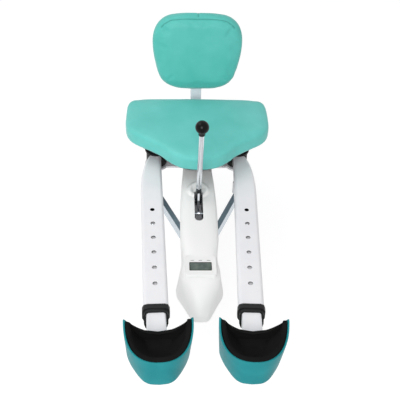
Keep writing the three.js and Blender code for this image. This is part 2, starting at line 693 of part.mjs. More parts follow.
// Gear plates: two steel sides, welded to the lower pivot plate, that carry the shaft and a pawl pin
function gearPlate(side) {
  const rear = PIVOT_Y - BRIDGE_FRONT - CLEARANCE;
  const low = carriageTop + CLEARANCE * 3;
  const front = HOLDING_PAWL_Y - 2 * PAWL_HUB;
  const top = shaftZ + SHAFT_DIAMETER;
  const plate = polygon([
    [front, low], [rear, low], [rear, lowerPlateZ + PIVOT_PLATE], [SHAFT_Y + RATCHET_RADIUS * 2, top],
    [SHAFT_Y - SHAFT_DIAMETER, top], [front, shaftZ],
  ]);
  const inner = side > 0 ? GEAR_PLATE_X - GEAR_PLATE : -GEAR_PLATE_X;
  const bore = rodX(SHAFT_DIAMETER + 2 * CLEARANCE, SHAFT_Y, shaftZ, inner - CUT_OVERRUN, inner + GEAR_PLATE + CUT_OVERRUN);
  const pinBore = rodX(
    PAWL_PIN + 2 * CLEARANCE, HOLDING_PAWL_Y, LEG_TOP - HOLDING_PAWL_DROP,
    inner - CUT_OVERRUN, inner + GEAR_PLATE + CUT_OVERRUN, 16,
  );
  return cut(sidePlate(plate, inner, inner + GEAR_PLATE), bore, pinBore);
}

function pawlPin() {
  const half = GEAR_PLATE_X + GEAR_PLATE / 2;
  return rodX(PAWL_PIN, HOLDING_PAWL_Y, LEG_TOP - HOLDING_PAWL_DROP, -half, half, 16);
}

// A pawl: a round hub and an arm whose nose pushes the wheel's teeth, from just outside them
function pawl(hubY, hubZ) {
  const reach = Math.hypot(hubY - SHAFT_Y, hubZ - shaftZ);
  const towards = Math.atan2(shaftZ - hubZ, SHAFT_Y - hubY);
  const hub = sidePlate(disc(PAWL_HUB / 2), -PAWL_WIDTH / 2, PAWL_WIDTH / 2);
  const bite = THREE.MathUtils.degToRad(PAWL_BITE_DEGREES);
  const rim = RATCHET_RADIUS + 2 * CLEARANCE;
  const [noseA, noseB] = [reach - rim * Math.cos(bite), -rim * Math.sin(bite)];
  const arm = sidePlate(polygon([
    [0, -PAWL_HUB / 2], [noseA - PAWL_TIP, noseB - PAWL_TIP], [noseA, noseB], [0, PAWL_HUB / 2],
  ]), -PAWL_WIDTH / 2, PAWL_WIDTH / 2);
  const bore = rodX(PAWL_PIN + 2 * CLEARANCE, 0, 0, -PAWL_WIDTH, PAWL_WIDTH, 16);
  return cut(join(hub, arm), bore).transform(at(0, hubY, hubZ, towards).elements);
}

// Lever, along its own length from the shaft: two cheeks, a block between them, and the rod
const leverPlace = at(0, SHAFT_Y, shaftZ, THREE.MathUtils.degToRad(LEVER_LEAN_DEGREES));

function leverYoke() {
  const cheek = new THREE.Shape();
  cheek.absarc(0, 0, CHEEK_RADIUS, Math.PI, 2 * Math.PI);
  cheek.lineTo(LEVER_ROD / 2 + CHEEK_THICKNESS, CHEEK_LENGTH);
  cheek.lineTo(-LEVER_ROD / 2 - CHEEK_THICKNESS, CHEEK_LENGTH);
  cheek.holes.push(disc(SHAFT_DIAMETER / 2 + CLEARANCE));
  const low = RATCHET_RADIUS + PAWL_HUB * 2 + CLEARANCE;
  const half = CHEEK_GAP / 2;
  const plates = [-half - CHEEK_THICKNESS, half].map((x) => sidePlate(cheek, x, x + CHEEK_THICKNESS));
  const spacer = block(-half, half, -LEVER_ROD / 2, LEVER_ROD / 2, low, CHEEK_LENGTH);
  const pin = rodX(PAWL_PIN, 0, DRIVE_PAWL_REACH, -half - CHEEK_THICKNESS, half + CHEEK_THICKNESS, 16);
  return join(...plates, spacer, pin).transform(leverPlace.elements);
}

function leverRod() {
  const radius = LEVER_ROD / 2;
  const top = LEVER_LENGTH - KNOB_DIAMETER / 2;
  const profile = [[0, CHEEK_LENGTH + CLEARANCE], [radius, CHEEK_LENGTH + CLEARANCE], [radius, top], [0, top]];
  const rod = new THREE.LatheGeometry(profile.map(([r, h]) => new THREE.Vector2(r, h)), 24);
  return solid(rod, leverPlace.clone().multiply(at(0, 0, 0, Math.PI / 2)));
}

function ballKnob() {
  const radius = KNOB_DIAMETER / 2;
  const neck = KNOB_NECK / 2;
  const foot = LEVER_LENGTH - radius - neck;
  const bore = LEVER_ROD / 2 + CLEARANCE;
  const profile = [new THREE.Vector2(bore, foot), new THREE.Vector2(neck, foot)];
  const start = -Math.acos(neck / radius);
  for (let i = 0; i <= 9; i += 1) {
    const angle = start + (i / 9) * (Math.PI / 2 - start);
    profile.push(new THREE.Vector2(radius * Math.cos(angle), LEVER_LENGTH + radius * Math.sin(angle)));
  }
  const seat = LEVER_LENGTH - radius + CLEARANCE;
  profile.push(new THREE.Vector2(0, seat), new THREE.Vector2(bore, seat), new THREE.Vector2(bore, foot));
  return solid(new THREE.LatheGeometry(profile, 24), leverPlace.clone().multiply(at(0, 0, 0, Math.PI / 2)));
}

// Housing: a moulded cover, lofted along the machine from under the seat to a pointed nose.
// Each row of shares gives the way along it, the widths of its top and bottom, the drop of its top
// and how much of its height is crown.
const housingShares = [
  [0, 0.66, 0.62, 0.065, 0.13], [0.175, 0.76, 0.68, 0.13, 0.14], [0.357, 0.815, 0.71, 0.213, 0.15],
  [0.541, 0.823, 0.73, 0.29, 0.16], [0.606, 0.78, 0.75, 0.32, 0.17], [0.66, 0.73, 0.83, 0.35, 0.18],
  [0.703, 0.74, 0.93, 0.378, 0.19], [0.768, 0.82, 1, 0.41, 0.2], [0.816, 0.84, 0.955, 0.45, 0.23],
  [0.848, 0.79, 0.85, 0.49, 0.32], [0.879, 0.69, 0.735, 0.545, 0.45], [0.909, 0.59, 0.63, 0.615, 0.55],
  [0.939, 0.495, 0.53, 0.7, 0.6], [0.968, 0.4, 0.43, 0.79, 0.62], [0.987, 0.31, 0.34, 0.86, 0.62],
  [1, 0.19, 0.22, 0.91, 0.6],
];

function housingLoft(inset, rear, floorZ) {
  const front = HOUSING_REAR - HOUSING_LENGTH + inset * 2;
  const rings = housingShares.map(([along, wideTop, wideBottom, drop, crownShare]) => {
    const y = along === 0 ? rear : HOUSING_REAR + along * (front - HOUSING_REAR);
    const half = Math.max(wideTop * HOUSING_WIDTH / 2 - inset, inset);
    const foot = Math.max(wideBottom * HOUSING_WIDTH / 2 - inset, inset);
    const top = LEG_TOP - drop * HOUSING_DEPTH - inset;
    const crown = (top - floorZ) * crownShare;
    const power = CROWN_FLATNESS + (1 - CROWN_FLATNESS) * crownShare;
    const ring = [new THREE.Vector3(foot, y, floorZ)];
    for (let i = 0; i <= 12; i += 1) {
      const angle = (i / 12) * Math.PI;
      const x = half * signedPower(Math.cos(angle), power);
      ring.push(new THREE.Vector3(x, y, top - crown + crown * Math.sin(angle) ** power));
    }
    ring.push(new THREE.Vector3(-foot, y, floorZ));
    return ring;
  });
  return solid(ringSkin(rings));
}

// A dished collar round the rear of the slot, as shares of its radius and of its rise
const mouthShares = [
  [0.3, -1], [1, -1], [1, 0], [0.94, 0.18], [0.85, 0.6], [0.77, 0.9], [0.69, 1], [0.61, 0.9], [0.52, 0.6],
  [0.43, 0.25], [0.3, 0],
];

function slotMouth() {
  const profile = mouthShares.map(([out, rise]) => (
    new THREE.Vector2((out * MOUTH_DIAMETER) / 2, rise * MOUTH_RISE)));
  const ring = new THREE.LatheGeometry([...profile, profile[0]], 24);
  const base = LEG_TOP - HOUSING_DEPTH * MOUTH_DROP_SHARE;
  return solid(ring, at(0, MOUTH_Y, base, Math.PI / 2 + THREE.MathUtils.degToRad(MOUTH_TILT_DEGREES)));
}

function housingCover() {
  const bottom = LEG_TOP - HOUSING_DEPTH;
  const skin = cut(
    join(housingLoft(0, HOUSING_REAR, bottom), slotMouth(), displayPanel()),
    housingLoft(HOUSING_WALL, HOUSING_REAR + CUT_OVERRUN, bottom - CUT_OVERRUN),
  );
  const slotRadius = SLOT_WIDTH / 2;
  const slot = new THREE.Shape();
  slot.absarc(0, SLOT_FRONT + slotRadius, slotRadius, Math.PI, 2 * Math.PI);
  slot.absarc(0, SLOT_REAR - slotRadius, slotRadius, 0, Math.PI);
  const slotCut = solid(extrude(slot, HOUSING_DEPTH), at(0, 0, shaftZ));
  const windows = block(
    -HOUSING_WIDTH, HOUSING_WIDTH, WINDOW_FRONT, WINDOW_REAR, linkBottom - WINDOW_MARGIN, linkTop + WINDOW_MARGIN,
  );
  const recess = block(
    -DISPLAY_WIDTH / 2 - CLEARANCE, DISPLAY_WIDTH / 2 + CLEARANCE,
    -DISPLAY_LENGTH / 2 - CLEARANCE, DISPLAY_LENGTH / 2 + CLEARANCE, -DISPLAY_DEPTH, DISPLAY_DEPTH,
  ).transform(displayPlace.elements);
  return cut(skin, slotCut, windows, recess);
}

const panelPlace = at(0, PANEL_Y, LEG_TOP - PANEL_DROP, THREE.MathUtils.degToRad(PANEL_TILT_DEGREES));
const displayPlace = panelPlace.clone().multiply(at(0, -DISPLAY_AHEAD, 0));

// The panel round the display stands a little proud of the cover at its front edge
function displayPanel() {
  const ringAt = (z, inset) => roundedRing(
    PANEL_WIDTH - 2 * inset, PANEL_LENGTH - 2 * inset, PANEL_CORNER - inset, 4, (a, b) => new THREE.Vector3(a, b, z),
  );
  const edge = HOUSING_WALL / 2;
  return solid(ringSkin([ringAt(-PANEL_DEPTH, 0), ringAt(-edge, 0), ringAt(0, edge)]), panelPlace);
}

function displayBezel() {
  const bezel = solid(extrude(new THREE.Shape(
    roundedRing(DISPLAY_WIDTH, DISPLAY_LENGTH, DISPLAY_CORNER, 3, (a, b) => new THREE.Vector2(a, b)),
  ), DISPLAY_DEPTH - CLEARANCE), at(0, 0, -DISPLAY_DEPTH + CLEARANCE));
  const pane = block(
    -GLASS_WIDTH / 2 - CLEARANCE, GLASS_WIDTH / 2 + CLEARANCE, -GLASS_LENGTH / 2 - CLEARANCE,
    GLASS_LENGTH / 2 + CLEARANCE, -GLASS_DEPTH - CLEARANCE, DISPLAY_DEPTH,
  );
  return cut(bezel, pane).transform(displayPlace.elements);
}

function displayGlass() {
  return block(
    -GLASS_WIDTH / 2, GLASS_WIDTH / 2, -GLASS_LENGTH / 2, GLASS_LENGTH / 2, -GLASS_DEPTH, 0,
  ).transform(displayPlace.elements);
}

// Pivot plates: a bridge with a round lobe about each swing pin
function pivotPlate(z, front) {
  const bridge = block(-PIVOT_X, PIVOT_X, PIVOT_Y - front, PIVOT_Y + BRIDGE_REAR, z, z + PIVOT_PLATE);
  const lobes = [-1, 1].map((side) => rodZ(2 * PIVOT_LOBE, side * PIVOT_X, PIVOT_Y, z, z + PIVOT_PLATE, 30));
  const bores = [-1, 1].map((side) => rodZ(
    PIN_DIAMETER + 2 * CLEARANCE, side * PIVOT_X, PIVOT_Y, z - CUT_OVERRUN, z + PIVOT_PLATE + CUT_OVERRUN,
  ));
  return cut(join(bridge, ...lobes), ...bores);
}

function swingPin(side) {
  const x = side * PIVOT_X;
  const top = upperPlateZ + PIVOT_PLATE;
  return join(
    rodZ(PIN_DIAMETER, x, PIVOT_Y, lowerPlateZ - PIN_HEAD_HEIGHT, top + CLEARANCE * 2),
    rodZ(PIN_HEAD, x, PIVOT_Y, top + CLEARANCE, top + PIN_HEAD_HEIGHT, 6),
    rodZ(PIN_HEAD, x, PIVOT_Y, lowerPlateZ - PIN_HEAD_HEIGHT, lowerPlateZ - CLEARANCE, 6),
  );
}

// Frame tubes
function hollowTubeY(width, height, wall, z, y0, y1) {
  return cut(
    tubeY(width, height, TUBE_CORNER, 0, z, y0, y1),
    tubeY(width - 2 * wall, height - 2 * wall, TUBE_CORNER - wall, 0, z, y0 - CUT_OVERRUN, y1 + CUT_OVERRUN),
  );
}

function hollowTubeZ(width, depth, wall, y, z0, z1) {
  return cut(
    tubeZ(width, depth, TUBE_CORNER, 0, y, z0, z1),
    tubeZ(width - 2 * wall, depth - 2 * wall, TUBE_CORNER - wall, 0, y, z0 - CUT_OVERRUN, z1 + CUT_OVERRUN),
  );
}

function rearCrossFoot() {
  const y = SPINE_REAR + CLEARANCE + CROSS_DEPTH / 2;
  const z = FOOT_HEIGHT + SPINE_HEIGHT / 2;
  const half = CROSS_LENGTH / 2;
  return cut(
    tubeX(CROSS_DEPTH, SPINE_HEIGHT, TUBE_CORNER, y, z, -half, half),
    tubeX(
      CROSS_DEPTH - 2 * BEAM_WALL, SPINE_HEIGHT - 2 * BEAM_WALL, TUBE_CORNER - BEAM_WALL, y, z,
      -half - CUT_OVERRUN, half + CUT_OVERRUN,
    ),
  );
}

// End cap with the rubber foot under it, at one end of the rear cross foot
function crossFootCap(side) {
  const y = SPINE_REAR + CLEARANCE + CROSS_DEPTH / 2;
  const z = FOOT_HEIGHT + SPINE_HEIGHT / 2;
  const end = side * (CROSS_LENGTH / 2 + CLEARANCE);
  const outer = end + side * FOOT_HEIGHT;
  const cap = tubeX(CROSS_DEPTH, SPINE_HEIGHT, TUBE_CORNER, y, z, Math.min(end, outer), Math.max(end, outer));
  const inner = end - side * FOOT_LENGTH;
  const pad = block(
    Math.min(inner, outer), Math.max(inner, outer), y - CROSS_DEPTH / 2 + TUBE_CORNER,
    y + CROSS_DEPTH / 2 - TUBE_CORNER, 0, FOOT_HEIGHT - CLEARANCE,
  );
  const link = block(
    Math.min(end, outer), Math.max(end, outer), y - CROSS_DEPTH / 2 + TUBE_CORNER,
    y + CROSS_DEPTH / 2 - TUBE_CORNER, 0, FOOT_HEIGHT + TUBE_CORNER,
  );
  return join(cap, pad, link);
}

function frontFoot() {
  const half = SPINE_WIDTH / 2 + FOOT_HEIGHT;
  const y = SPINE_FRONT + FOOT_LENGTH / 2;
  return tubeZ(2 * half, FOOT_LENGTH, TUBE_CORNER, 0, y, 0, FOOT_HEIGHT - CLEARANCE);
}

// Seat: half of its outline as shares of the half width and of the length, from the rear to the front
const seatHalfShares = [
  [0, 1], [0.5, 0.994], [0.83, 0.978], [0.94, 0.955], [0.983, 0.9], [0.997, 0.8], [1, 0.68], [0.99, 0.535],
  [0.96, 0.468],
  [0.895, 0.405], [0.768, 0.338], [0.635, 0.274], [0.523, 0.212], [0.445, 0.151], [0.36, 0.089], [0.23, 0.026],
  [0, 0],
];

// Backrest: half of its outline as shares of the half width and of the height, from the foot up
const backHalfShares = [
  [0, 0], [0.44, 0.005], [0.705, 0.05], [0.83, 0.12], [0.893, 0.22], [0.943, 0.35], [0.98, 0.47],
  [0.999, 0.58], [0.995, 0.68], [0.965, 0.775], [0.9, 0.858], [0.795, 0.927], [0.64, 0.974], [0.37, 0.997], [0, 1],
];

// A smooth closed outline of even steps, mirrored from its half
function mirroredOutline(halfShares, width, length, count) {
  const half = halfShares.map(([across, along]) => [across * width / 2, along * length]);
  const other = half.slice(1, -1).reverse().map(([a, b]) => [-a, b]);
  const points = [...half, ...other].map(([a, b]) => new THREE.Vector3(a, b, 0));
  const curve = new THREE.CatmullRomCurve3(points, true, 'centripetal');
  const outline = curve.getSpacedPoints(count).slice(0, count).map((p) => [p.x, p.y]);
  return THREE.ShapeUtils.area(outline.map(([x, y]) => ({ x, y }))) > 0 ? outline : outline.reverse();
}

// A crowned cushion: rings of the outline, drawn in towards its middle, between foot and top
function cushionRings(outline, middle, profileShares, thickness, place) {
  return profileShares.map(([drawn, rise]) => outline.map(([a, b]) => (
    place(a * drawn, middle + (b - middle) * drawn, rise * thickness))));
}

const cushionShares = [
  [0.955, 0], [0.985, 0.05], [0.998, 0.2], [1, 0.45], [0.996, 0.7], [0.985, 0.85], [0.96, 0.95], [0.91, 1],
];
const crownShares = [0.78, 0.6, 0.4, 0.2];

function seatCushion() {
  const outline = mirroredOutline(seatHalfShares, SEAT_WIDTH, SEAT_LENGTH, 56);
  const middle = SEAT_LENGTH * 0.55;
  const crowned = crownShares.map((drawn) => [drawn, 1 + (SEAT_CROWN / SEAT_THICKNESS) * (1 - drawn ** 2)]);
  const place = (a, b, c) => new THREE.Vector3(a, SEAT_FRONT + b, seatBottom + CLEARANCE + c);
  const thickness = SEAT_THICKNESS - SEAT_CROWN;
  return solid(ringSkin(cushionRings(outline, middle, [...cushionShares, ...crowned], thickness, place)));
}

function seatBoard() {
  const outline = mirroredOutline(seatHalfShares, SEAT_WIDTH, SEAT_LENGTH, 40);
  const middle = SEAT_LENGTH * 0.55;
  const place = (a, b, c) => new THREE.Vector3(a, SEAT_FRONT + b, seatBottom - SEAT_BOARD + c);
  return solid(ringSkin(cushionRings(outline, middle, [[0.86, 0], [0.86, 1]], SEAT_BOARD, place)));
}

function seatBearer(side) {
  const low = upperPlateZ + PIVOT_PLATE + CLEARANCE;
  const x0 = side * (PEDESTAL_WIDTH / 2 + BEARER_WIDTH / 2);
  return block(
    x0 - BEARER_WIDTH / 2, x0 + BEARER_WIDTH / 2, PIVOT_Y - PIVOT_LOBE, pedestalRear,
    low, seatBottom - SEAT_BOARD - CLEARANCE,
  );
}

// Backrest pieces, in the frame that leans with it: a across, b up the face, c to the rear
const backPlace = at(
  0, backFootY, LEG_TOP + BACK_FOOT_RISE, -THREE.MathUtils.degToRad(BACK_LEAN_DEGREES),
);

function backCushion() {
  const outline = mirroredOutline(backHalfShares, BACK_WIDTH, BACK_HEIGHT, 52);
  const middle = BACK_HEIGHT * 0.52;
  const crowned = crownShares.map((drawn) => [drawn, 1 + (BACK_CROWN / BACK_THICKNESS) * (1 - drawn ** 2)]);
  const thickness = BACK_THICKNESS - BACK_CROWN;
  const place = (a, b, c) => new THREE.Vector3(a, BACK_THICKNESS - c, b).applyMatrix4(backPlace);
  return solid(ringSkin(cushionRings(outline, middle, [...cushionShares, ...crowned], thickness, place)));
}

function backBoard() {
  const outline = mirroredOutline(backHalfShares, BACK_WIDTH, BACK_HEIGHT, 36);
  const front = BACK_THICKNESS + CLEARANCE;
  const place = (a, b, c) => new THREE.Vector3(a, front + BACK_BOARD - c, b).applyMatrix4(backPlace);
  return solid(ringSkin(cushionRings(outline, BACK_HEIGHT * 0.52, [[0.9, 0], [0.9, 1]], BACK_BOARD, place)));
}

const postMiddle = BACK_THICKNESS + BACK_BOARD + 2 * CLEARANCE + POST_DEPTH / 2;

function backPost() {
  const post = tubeZ(POST_WIDTH, POST_DEPTH, POST_WALL * 2, 0, postMiddle, POST_BOTTOM, POST_TOP);
  const hollow = tubeZ(
    POST_WIDTH - 2 * POST_WALL, POST_DEPTH - 2 * POST_WALL, POST_WALL, 0, postMiddle,
    POST_BOTTOM - CUT_OVERRUN, POST_TOP + CUT_OVERRUN,
  );
  return cut(post, hollow).transform(backPlace.elements);
}

function backSocket() {
  const room = 2 * CLEARANCE;
  const outer = tubeZ(
    POST_WIDTH + room + 2 * SOCKET_WALL, POST_DEPTH + room + 2 * SOCKET_WALL, TUBE_CORNER, 0, postMiddle,
    SOCKET_BOTTOM, SOCKET_TOP,
  );
  const passage = tubeZ(
    POST_WIDTH + room, POST_DEPTH + room, POST_WALL, 0, postMiddle,
    SOCKET_BOTTOM - CUT_OVERRUN, SOCKET_TOP + CUT_OVERRUN,
  );
  const nut = solid(
    new THREE.CylinderGeometry(POST_DEPTH / 2, POST_DEPTH / 2, STAR_KNOB_DEPTH / 2, 24),
    at(0, postMiddle + POST_DEPTH / 2 + CLEARANCE + SOCKET_WALL + STAR_KNOB_DEPTH / 4, knobRise),
  );
  const bore = solid(
    new THREE.CylinderGeometry(PAWL_PIN, PAWL_PIN, POST_DEPTH, 24),
    at(0, postMiddle + POST_DEPTH, knobRise),
  );
  return cut(join(outer, nut), passage, bore).transform(backPlace.elements);
}

const knobRise = (SOCKET_TOP + SOCKET_BOTTOM) / 2;

function starKnob() {
  const lobes = 5;
  const star = new THREE.Shape();
  for (let i = 0; i <= 60; i += 1) {
    const angle = (i / 60) * 2 * Math.PI;
    const radius = (STAR_KNOB / 2) * (0.88 + 0.12 * Math.cos(lobes * angle));
    const point = [radius * Math.cos(angle), radius * Math.sin(angle)];
    if (i === 0) star.moveTo(...point);
    else if (i < 60) star.lineTo(...point);
  }
  const socketRear = postMiddle + POST_DEPTH / 2 + CLEARANCE + SOCKET_WALL;
  const face = socketRear + STAR_KNOB_DEPTH / 2 + CLEARANCE;
  const head = solid(extrude(star, STAR_KNOB_DEPTH), at(0, face + STAR_KNOB_DEPTH, knobRise, Math.PI / 2));
  const stemStart = postMiddle + POST_DEPTH / 2 + 2 * CLEARANCE;
  const stemLength = face + CUT_OVERRUN - stemStart;
  const stem = solid(
    new THREE.CylinderGeometry(PAWL_PIN - CLEARANCE, PAWL_PIN - CLEARANCE, stemLength, 20),
    at(0, stemStart + stemLength / 2, knobRise),
  );
  return join(head, stem).transform(backPlace.elements);
}

function backArm() {
  const socketFront = new THREE.Vector3(
    0, postMiddle - POST_DEPTH / 2 - CLEARANCE - SOCKET_WALL, SOCKET_TOP - ARM_HEIGHT,
  ).applyMatrix4(backPlace);
  const lean = Math.tan(THREE.MathUtils.degToRad(BACK_LEAN_DEGREES));
  const top = socketFront.z + ARM_HEIGHT / 2;
  const low = socketFront.z - ARM_HEIGHT / 2;
  const rear = socketFront.y - 2 * CLEARANCE;
  const profile = polygon([
    [pedestalRear + CLEARANCE, low], [rear - lean * ARM_HEIGHT / 2, low],
    [rear + lean * ARM_HEIGHT / 2, top], [pedestalRear + CLEARANCE, top],
  ]);
  return sidePlate(profile, -ARM_WIDTH / 2, ARM_WIDTH / 2);
}

// The frame and what is fixed to it
piece(machine, 'front_foot', frontFoot(), 'rubber');
piece(machine, 'base_spine', hollowTubeY(
  SPINE_WIDTH, SPINE_HEIGHT, BEAM_WALL, FOOT_HEIGHT + SPINE_HEIGHT / 2, SPINE_FRONT, SPINE_REAR,
), 'whitePaint');
piece(machine, 'rear_cross_foot', rearCrossFoot(), 'whitePaint');
piece(machine, 'front_upright', hollowTubeZ(
  SPINE_WIDTH, UPRIGHT_DEPTH, BEAM_WALL, SPINE_FRONT + UPRIGHT_DEPTH / 2,
  FOOT_HEIGHT + SPINE_HEIGHT + CLEARANCE, beamBottom - CLEARANCE,
), 'whitePaint');
piece(machine, 'main_beam', hollowTubeY(
  beamWidth, BEAM_HEIGHT, BEAM_WALL, (beamTop + beamBottom) / 2, BEAM_FRONT, PEDESTAL_FRONT - CLEARANCE,
), 'whitePaint');
piece(machine, 'pedestal', hollowTubeZ(
  PEDESTAL_WIDTH, PEDESTAL_DEPTH, BEAM_WALL, PEDESTAL_FRONT + PEDESTAL_DEPTH / 2,
  FOOT_HEIGHT + SPINE_HEIGHT + CLEARANCE, lowerPlateZ - CLEARANCE,
), 'whitePaint');
piece(machine, 'plate_spacer', hollowTubeZ(
  PEDESTAL_WIDTH, BRIDGE_REAR, BEAM_WALL, PIVOT_Y + BRIDGE_REAR / 2,
  lowerPlateZ + PIVOT_PLATE + CLEARANCE, upperPlateZ - CLEARANCE,
), 'whitePaint');
piece(machine, 'lower_pivot_plate', pivotPlate(lowerPlateZ, BRIDGE_FRONT), 'whitePaint');
piece(machine, 'upper_pivot_plate', pivotPlate(upperPlateZ, UPPER_BRIDGE_FRONT), 'blackPaint');
piece(machine, 'seat_board', seatBoard(), 'plywood');
piece(machine, 'seat_cushion', seatCushion(), 'tealLeather');
piece(machine, 'housing_cover', housingCover(), 'whitePlastic');
piece(machine, 'display_bezel', displayBezel(), 'blackPlastic');
piece(machine, 'display_glass', displayGlass(), 'displayGlass');
piece(machine, 'holding_pawl_pin', pawlPin(), 'zincSteel');
piece(machine, 'back_arm', backArm(), 'whitePaint');
piece(machine, 'back_socket', backSocket(), 'whitePaint');

// The backrest slides in its socket, and the star knob clamps it
piece(machine, 'back_post', backPost(), 'zincSteel');
piece(machine, 'back_board', backBoard(), 'plywood');
piece(machine, 'back_cushion', backCushion(), 'tealLeather');
piece(machine, 'star_knob', starKnob(), 'blackPlastic');

// The ratchet drive
piece(machine, 'pinion_shaft', pinionShaft(), 'zincSteel');
piece(machine, 'ratchet_wheel', ratchetWheel(), 'darkSteel');
piece(machine, 'rack_carriage', carriage(), 'zincSteel');
piece(machine, 'holding_pawl', pawl(HOLDING_PAWL_Y, LEG_TOP - HOLDING_PAWL_DROP), 'chrome');
const drivePawlHub = new THREE.Vector3(0, 0, DRIVE_PAWL_REACH).applyMatrix4(leverPlace);
piece(machine, 'drive_pawl', pawl(drivePawlHub.y, drivePawlHub.z), 'chrome');
piece(machine, 'lever_yoke', leverYoke(), 'chrome');
piece(machine, 'lever_rod', leverRod(), 'chrome');
piece(machine, 'ball_knob', ballKnob(), 'glossPlastic');

// Two of everything on the legs, toed in a little at rest
for (const [name, side] of [['left', -1], ['right', 1]]) {
  piece(machine, `cross_foot_cap_${name}`, crossFootCap(side), 'rubber');
  piece(machine, `seat_bearer_${name}`, seatBearer(side), 'zincSteel');
  piece(machine, `gear_plate_${name}`, gearPlate(side), 'zincSteel');
  piece(machine, `swing_pin_${name}`, swingPin(side), 'zincSteel');
  piece(machine, `link_bar_${name}`, linkBar(side), 'zincSteel');
  const leg = new THREE.Group();
  leg.position.set(side * PIVOT_X, PIVOT_Y, 0);
  leg.rotation.z = -side * THREE.MathUtils.degToRad(TOE_IN_DEGREES);
  machine.add(leg);
  piece(leg, `leg_tube_${name}`, legTube(side), 'whitePaint');
  piece(leg, `pivot_boot_${name}`, pivotBoot(side), 'blackPlastic');
  piece(leg, `upper_bush_${name}`, pivotBush(true), 'nylon');
  piece(leg, `lower_bush_${name}`, pivotBush(false), 'nylon');
  piece(leg, `collar_${name}`, collar(side), 'blackPlastic');
  piece(leg, `inner_tube_${name}`, innerTube(side), 'whitePaint');
  piece(leg, `guide_block_${name}`, guideBlock(side), 'nylon');
  piece(leg, `snap_button_${name}`, snapButton(side), 'chrome');
  piece(leg, `cup_shell_${name}`, cupShell(side), 'tealPlastic');
  piece(leg, `cup_pad_${name}`, cupPad(side), 'foam');
}

// The origin is on the floor, under the middle of the machine's length
const box = new THREE.Box3().setFromObject(machine);
machine.children.forEach((child) => { child.position.y -= (box.min.y + box.max.y) / 2; });

export default machine;
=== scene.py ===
import math
from math import cos, pi, radians, sin

import bmesh
import bpy
import numpy as np
from mathutils import Matrix, Vector
from mathutils.bvhtree import BVHTree
from mathutils.kdtree import KDTree


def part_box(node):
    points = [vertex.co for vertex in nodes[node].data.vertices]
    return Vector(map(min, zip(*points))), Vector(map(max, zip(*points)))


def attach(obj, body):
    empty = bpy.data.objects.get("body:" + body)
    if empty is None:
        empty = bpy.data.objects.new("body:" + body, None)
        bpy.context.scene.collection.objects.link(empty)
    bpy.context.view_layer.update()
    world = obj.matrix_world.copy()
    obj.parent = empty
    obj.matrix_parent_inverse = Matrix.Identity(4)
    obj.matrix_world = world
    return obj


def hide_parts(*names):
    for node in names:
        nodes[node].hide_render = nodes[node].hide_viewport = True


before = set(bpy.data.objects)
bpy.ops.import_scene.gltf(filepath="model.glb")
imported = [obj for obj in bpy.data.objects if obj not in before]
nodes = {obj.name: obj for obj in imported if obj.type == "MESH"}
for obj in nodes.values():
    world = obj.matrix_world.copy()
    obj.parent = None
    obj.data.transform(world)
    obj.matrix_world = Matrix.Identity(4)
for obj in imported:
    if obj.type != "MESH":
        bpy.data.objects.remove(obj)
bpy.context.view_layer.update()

scene = bpy.context.scene
scene.view_settings.view_transform = "Standard"


# ---- View ----
# The machine is seen from in front of its cups and well above, turned and rolled by a few degrees.
# The lens is long, so the backrest looks little smaller than what stands in front of it.
camera = bpy.data.objects.new("camera", bpy.data.cameras.new("camera"))
scene.collection.objects.link(camera)
scene.camera = camera
camera.data.sensor_width = 36
camera.data.lens = 73.34
view_place = (-0.0896, -1.69454, 1.6552)
view_turn, view_tilt, view_roll = radians(3.14), radians(40), radians(2.28)
view_way = Vector((sin(view_turn) * cos(view_tilt), cos(view_turn) * cos(view_tilt), -sin(view_tilt)))
view_level = Vector((cos(view_turn), -sin(view_turn), 0))
view_up = view_level.cross(view_way)
view_axes = Matrix((
    view_level * cos(view_roll) + view_up * sin(view_roll),
    view_up * cos(view_roll) - view_level * sin(view_roll),
    -view_way,
)).transposed().to_4x4()
camera.matrix_world = Matrix.Translation(view_place) @ view_axes


# ---- Floor and light ----
# A plain white paper floor under an even white sky, with two large soft lamps.
# The floor glows a little for the eye alone, so it stays near white and still takes the shadow.
def linear(hex_colour):
    """An sRGB hex colour as linear red, green and blue, with alpha."""
    channels = [int(hex_colour[i:i + 2], 16) / 255 for i in (0, 2, 4)]
    return [c / 12.92 if c <= 0.04045 else ((c + 0.055) / 1.055) ** 2.4 for c in channels] + [1]


def add(tree, kind, inputs=None, links=None, **settings):
    """A node with its settings, its plain inputs and the outputs that are linked to it."""
    made = tree.nodes.new(kind)
    for name, value in settings.items():
        setattr(made, name, value)
    for socket, value in (inputs or {}).items():
        made.inputs[socket].default_value = value
    for socket, source in (links or {}).items():
        tree.links.new(source, made.inputs[socket])
    return made


FLOOR_HALF, GLOW_SHARE, GLOW, SKY_LIGHT = 12, 0.78, 1.12, 0.5
floor_mesh = bpy.data.meshes.new("floor")
corners = [(-FLOOR_HALF, -FLOOR_HALF, 0), (FLOOR_HALF, -FLOOR_HALF, 0),
           (FLOOR_HALF, FLOOR_HALF, 0), (-FLOOR_HALF, FLOOR_HALF, 0)]
floor_mesh.from_pydata(corners, [], [(0, 1, 2, 3)])
floor = bpy.data.objects.new("floor", floor_mesh)
scene.collection.objects.link(floor)


def seen_in(tree):
    """1 for what the eye sees, also in a reflection or through glass, and 0 for what lights the machine."""
    rays = add(tree, "ShaderNodeLightPath")
    seen = add(tree, "ShaderNodeMath", operation="MAXIMUM",
               links={0: rays.outputs["Is Camera Ray"], 1: rays.outputs["Is Glossy Ray"]})
    seen = add(tree, "ShaderNodeMath", operation="MAXIMUM",
               links={0: seen.outputs[0], 1: rays.outputs["Is Transmission Ray"]})
    return seen.outputs[0]


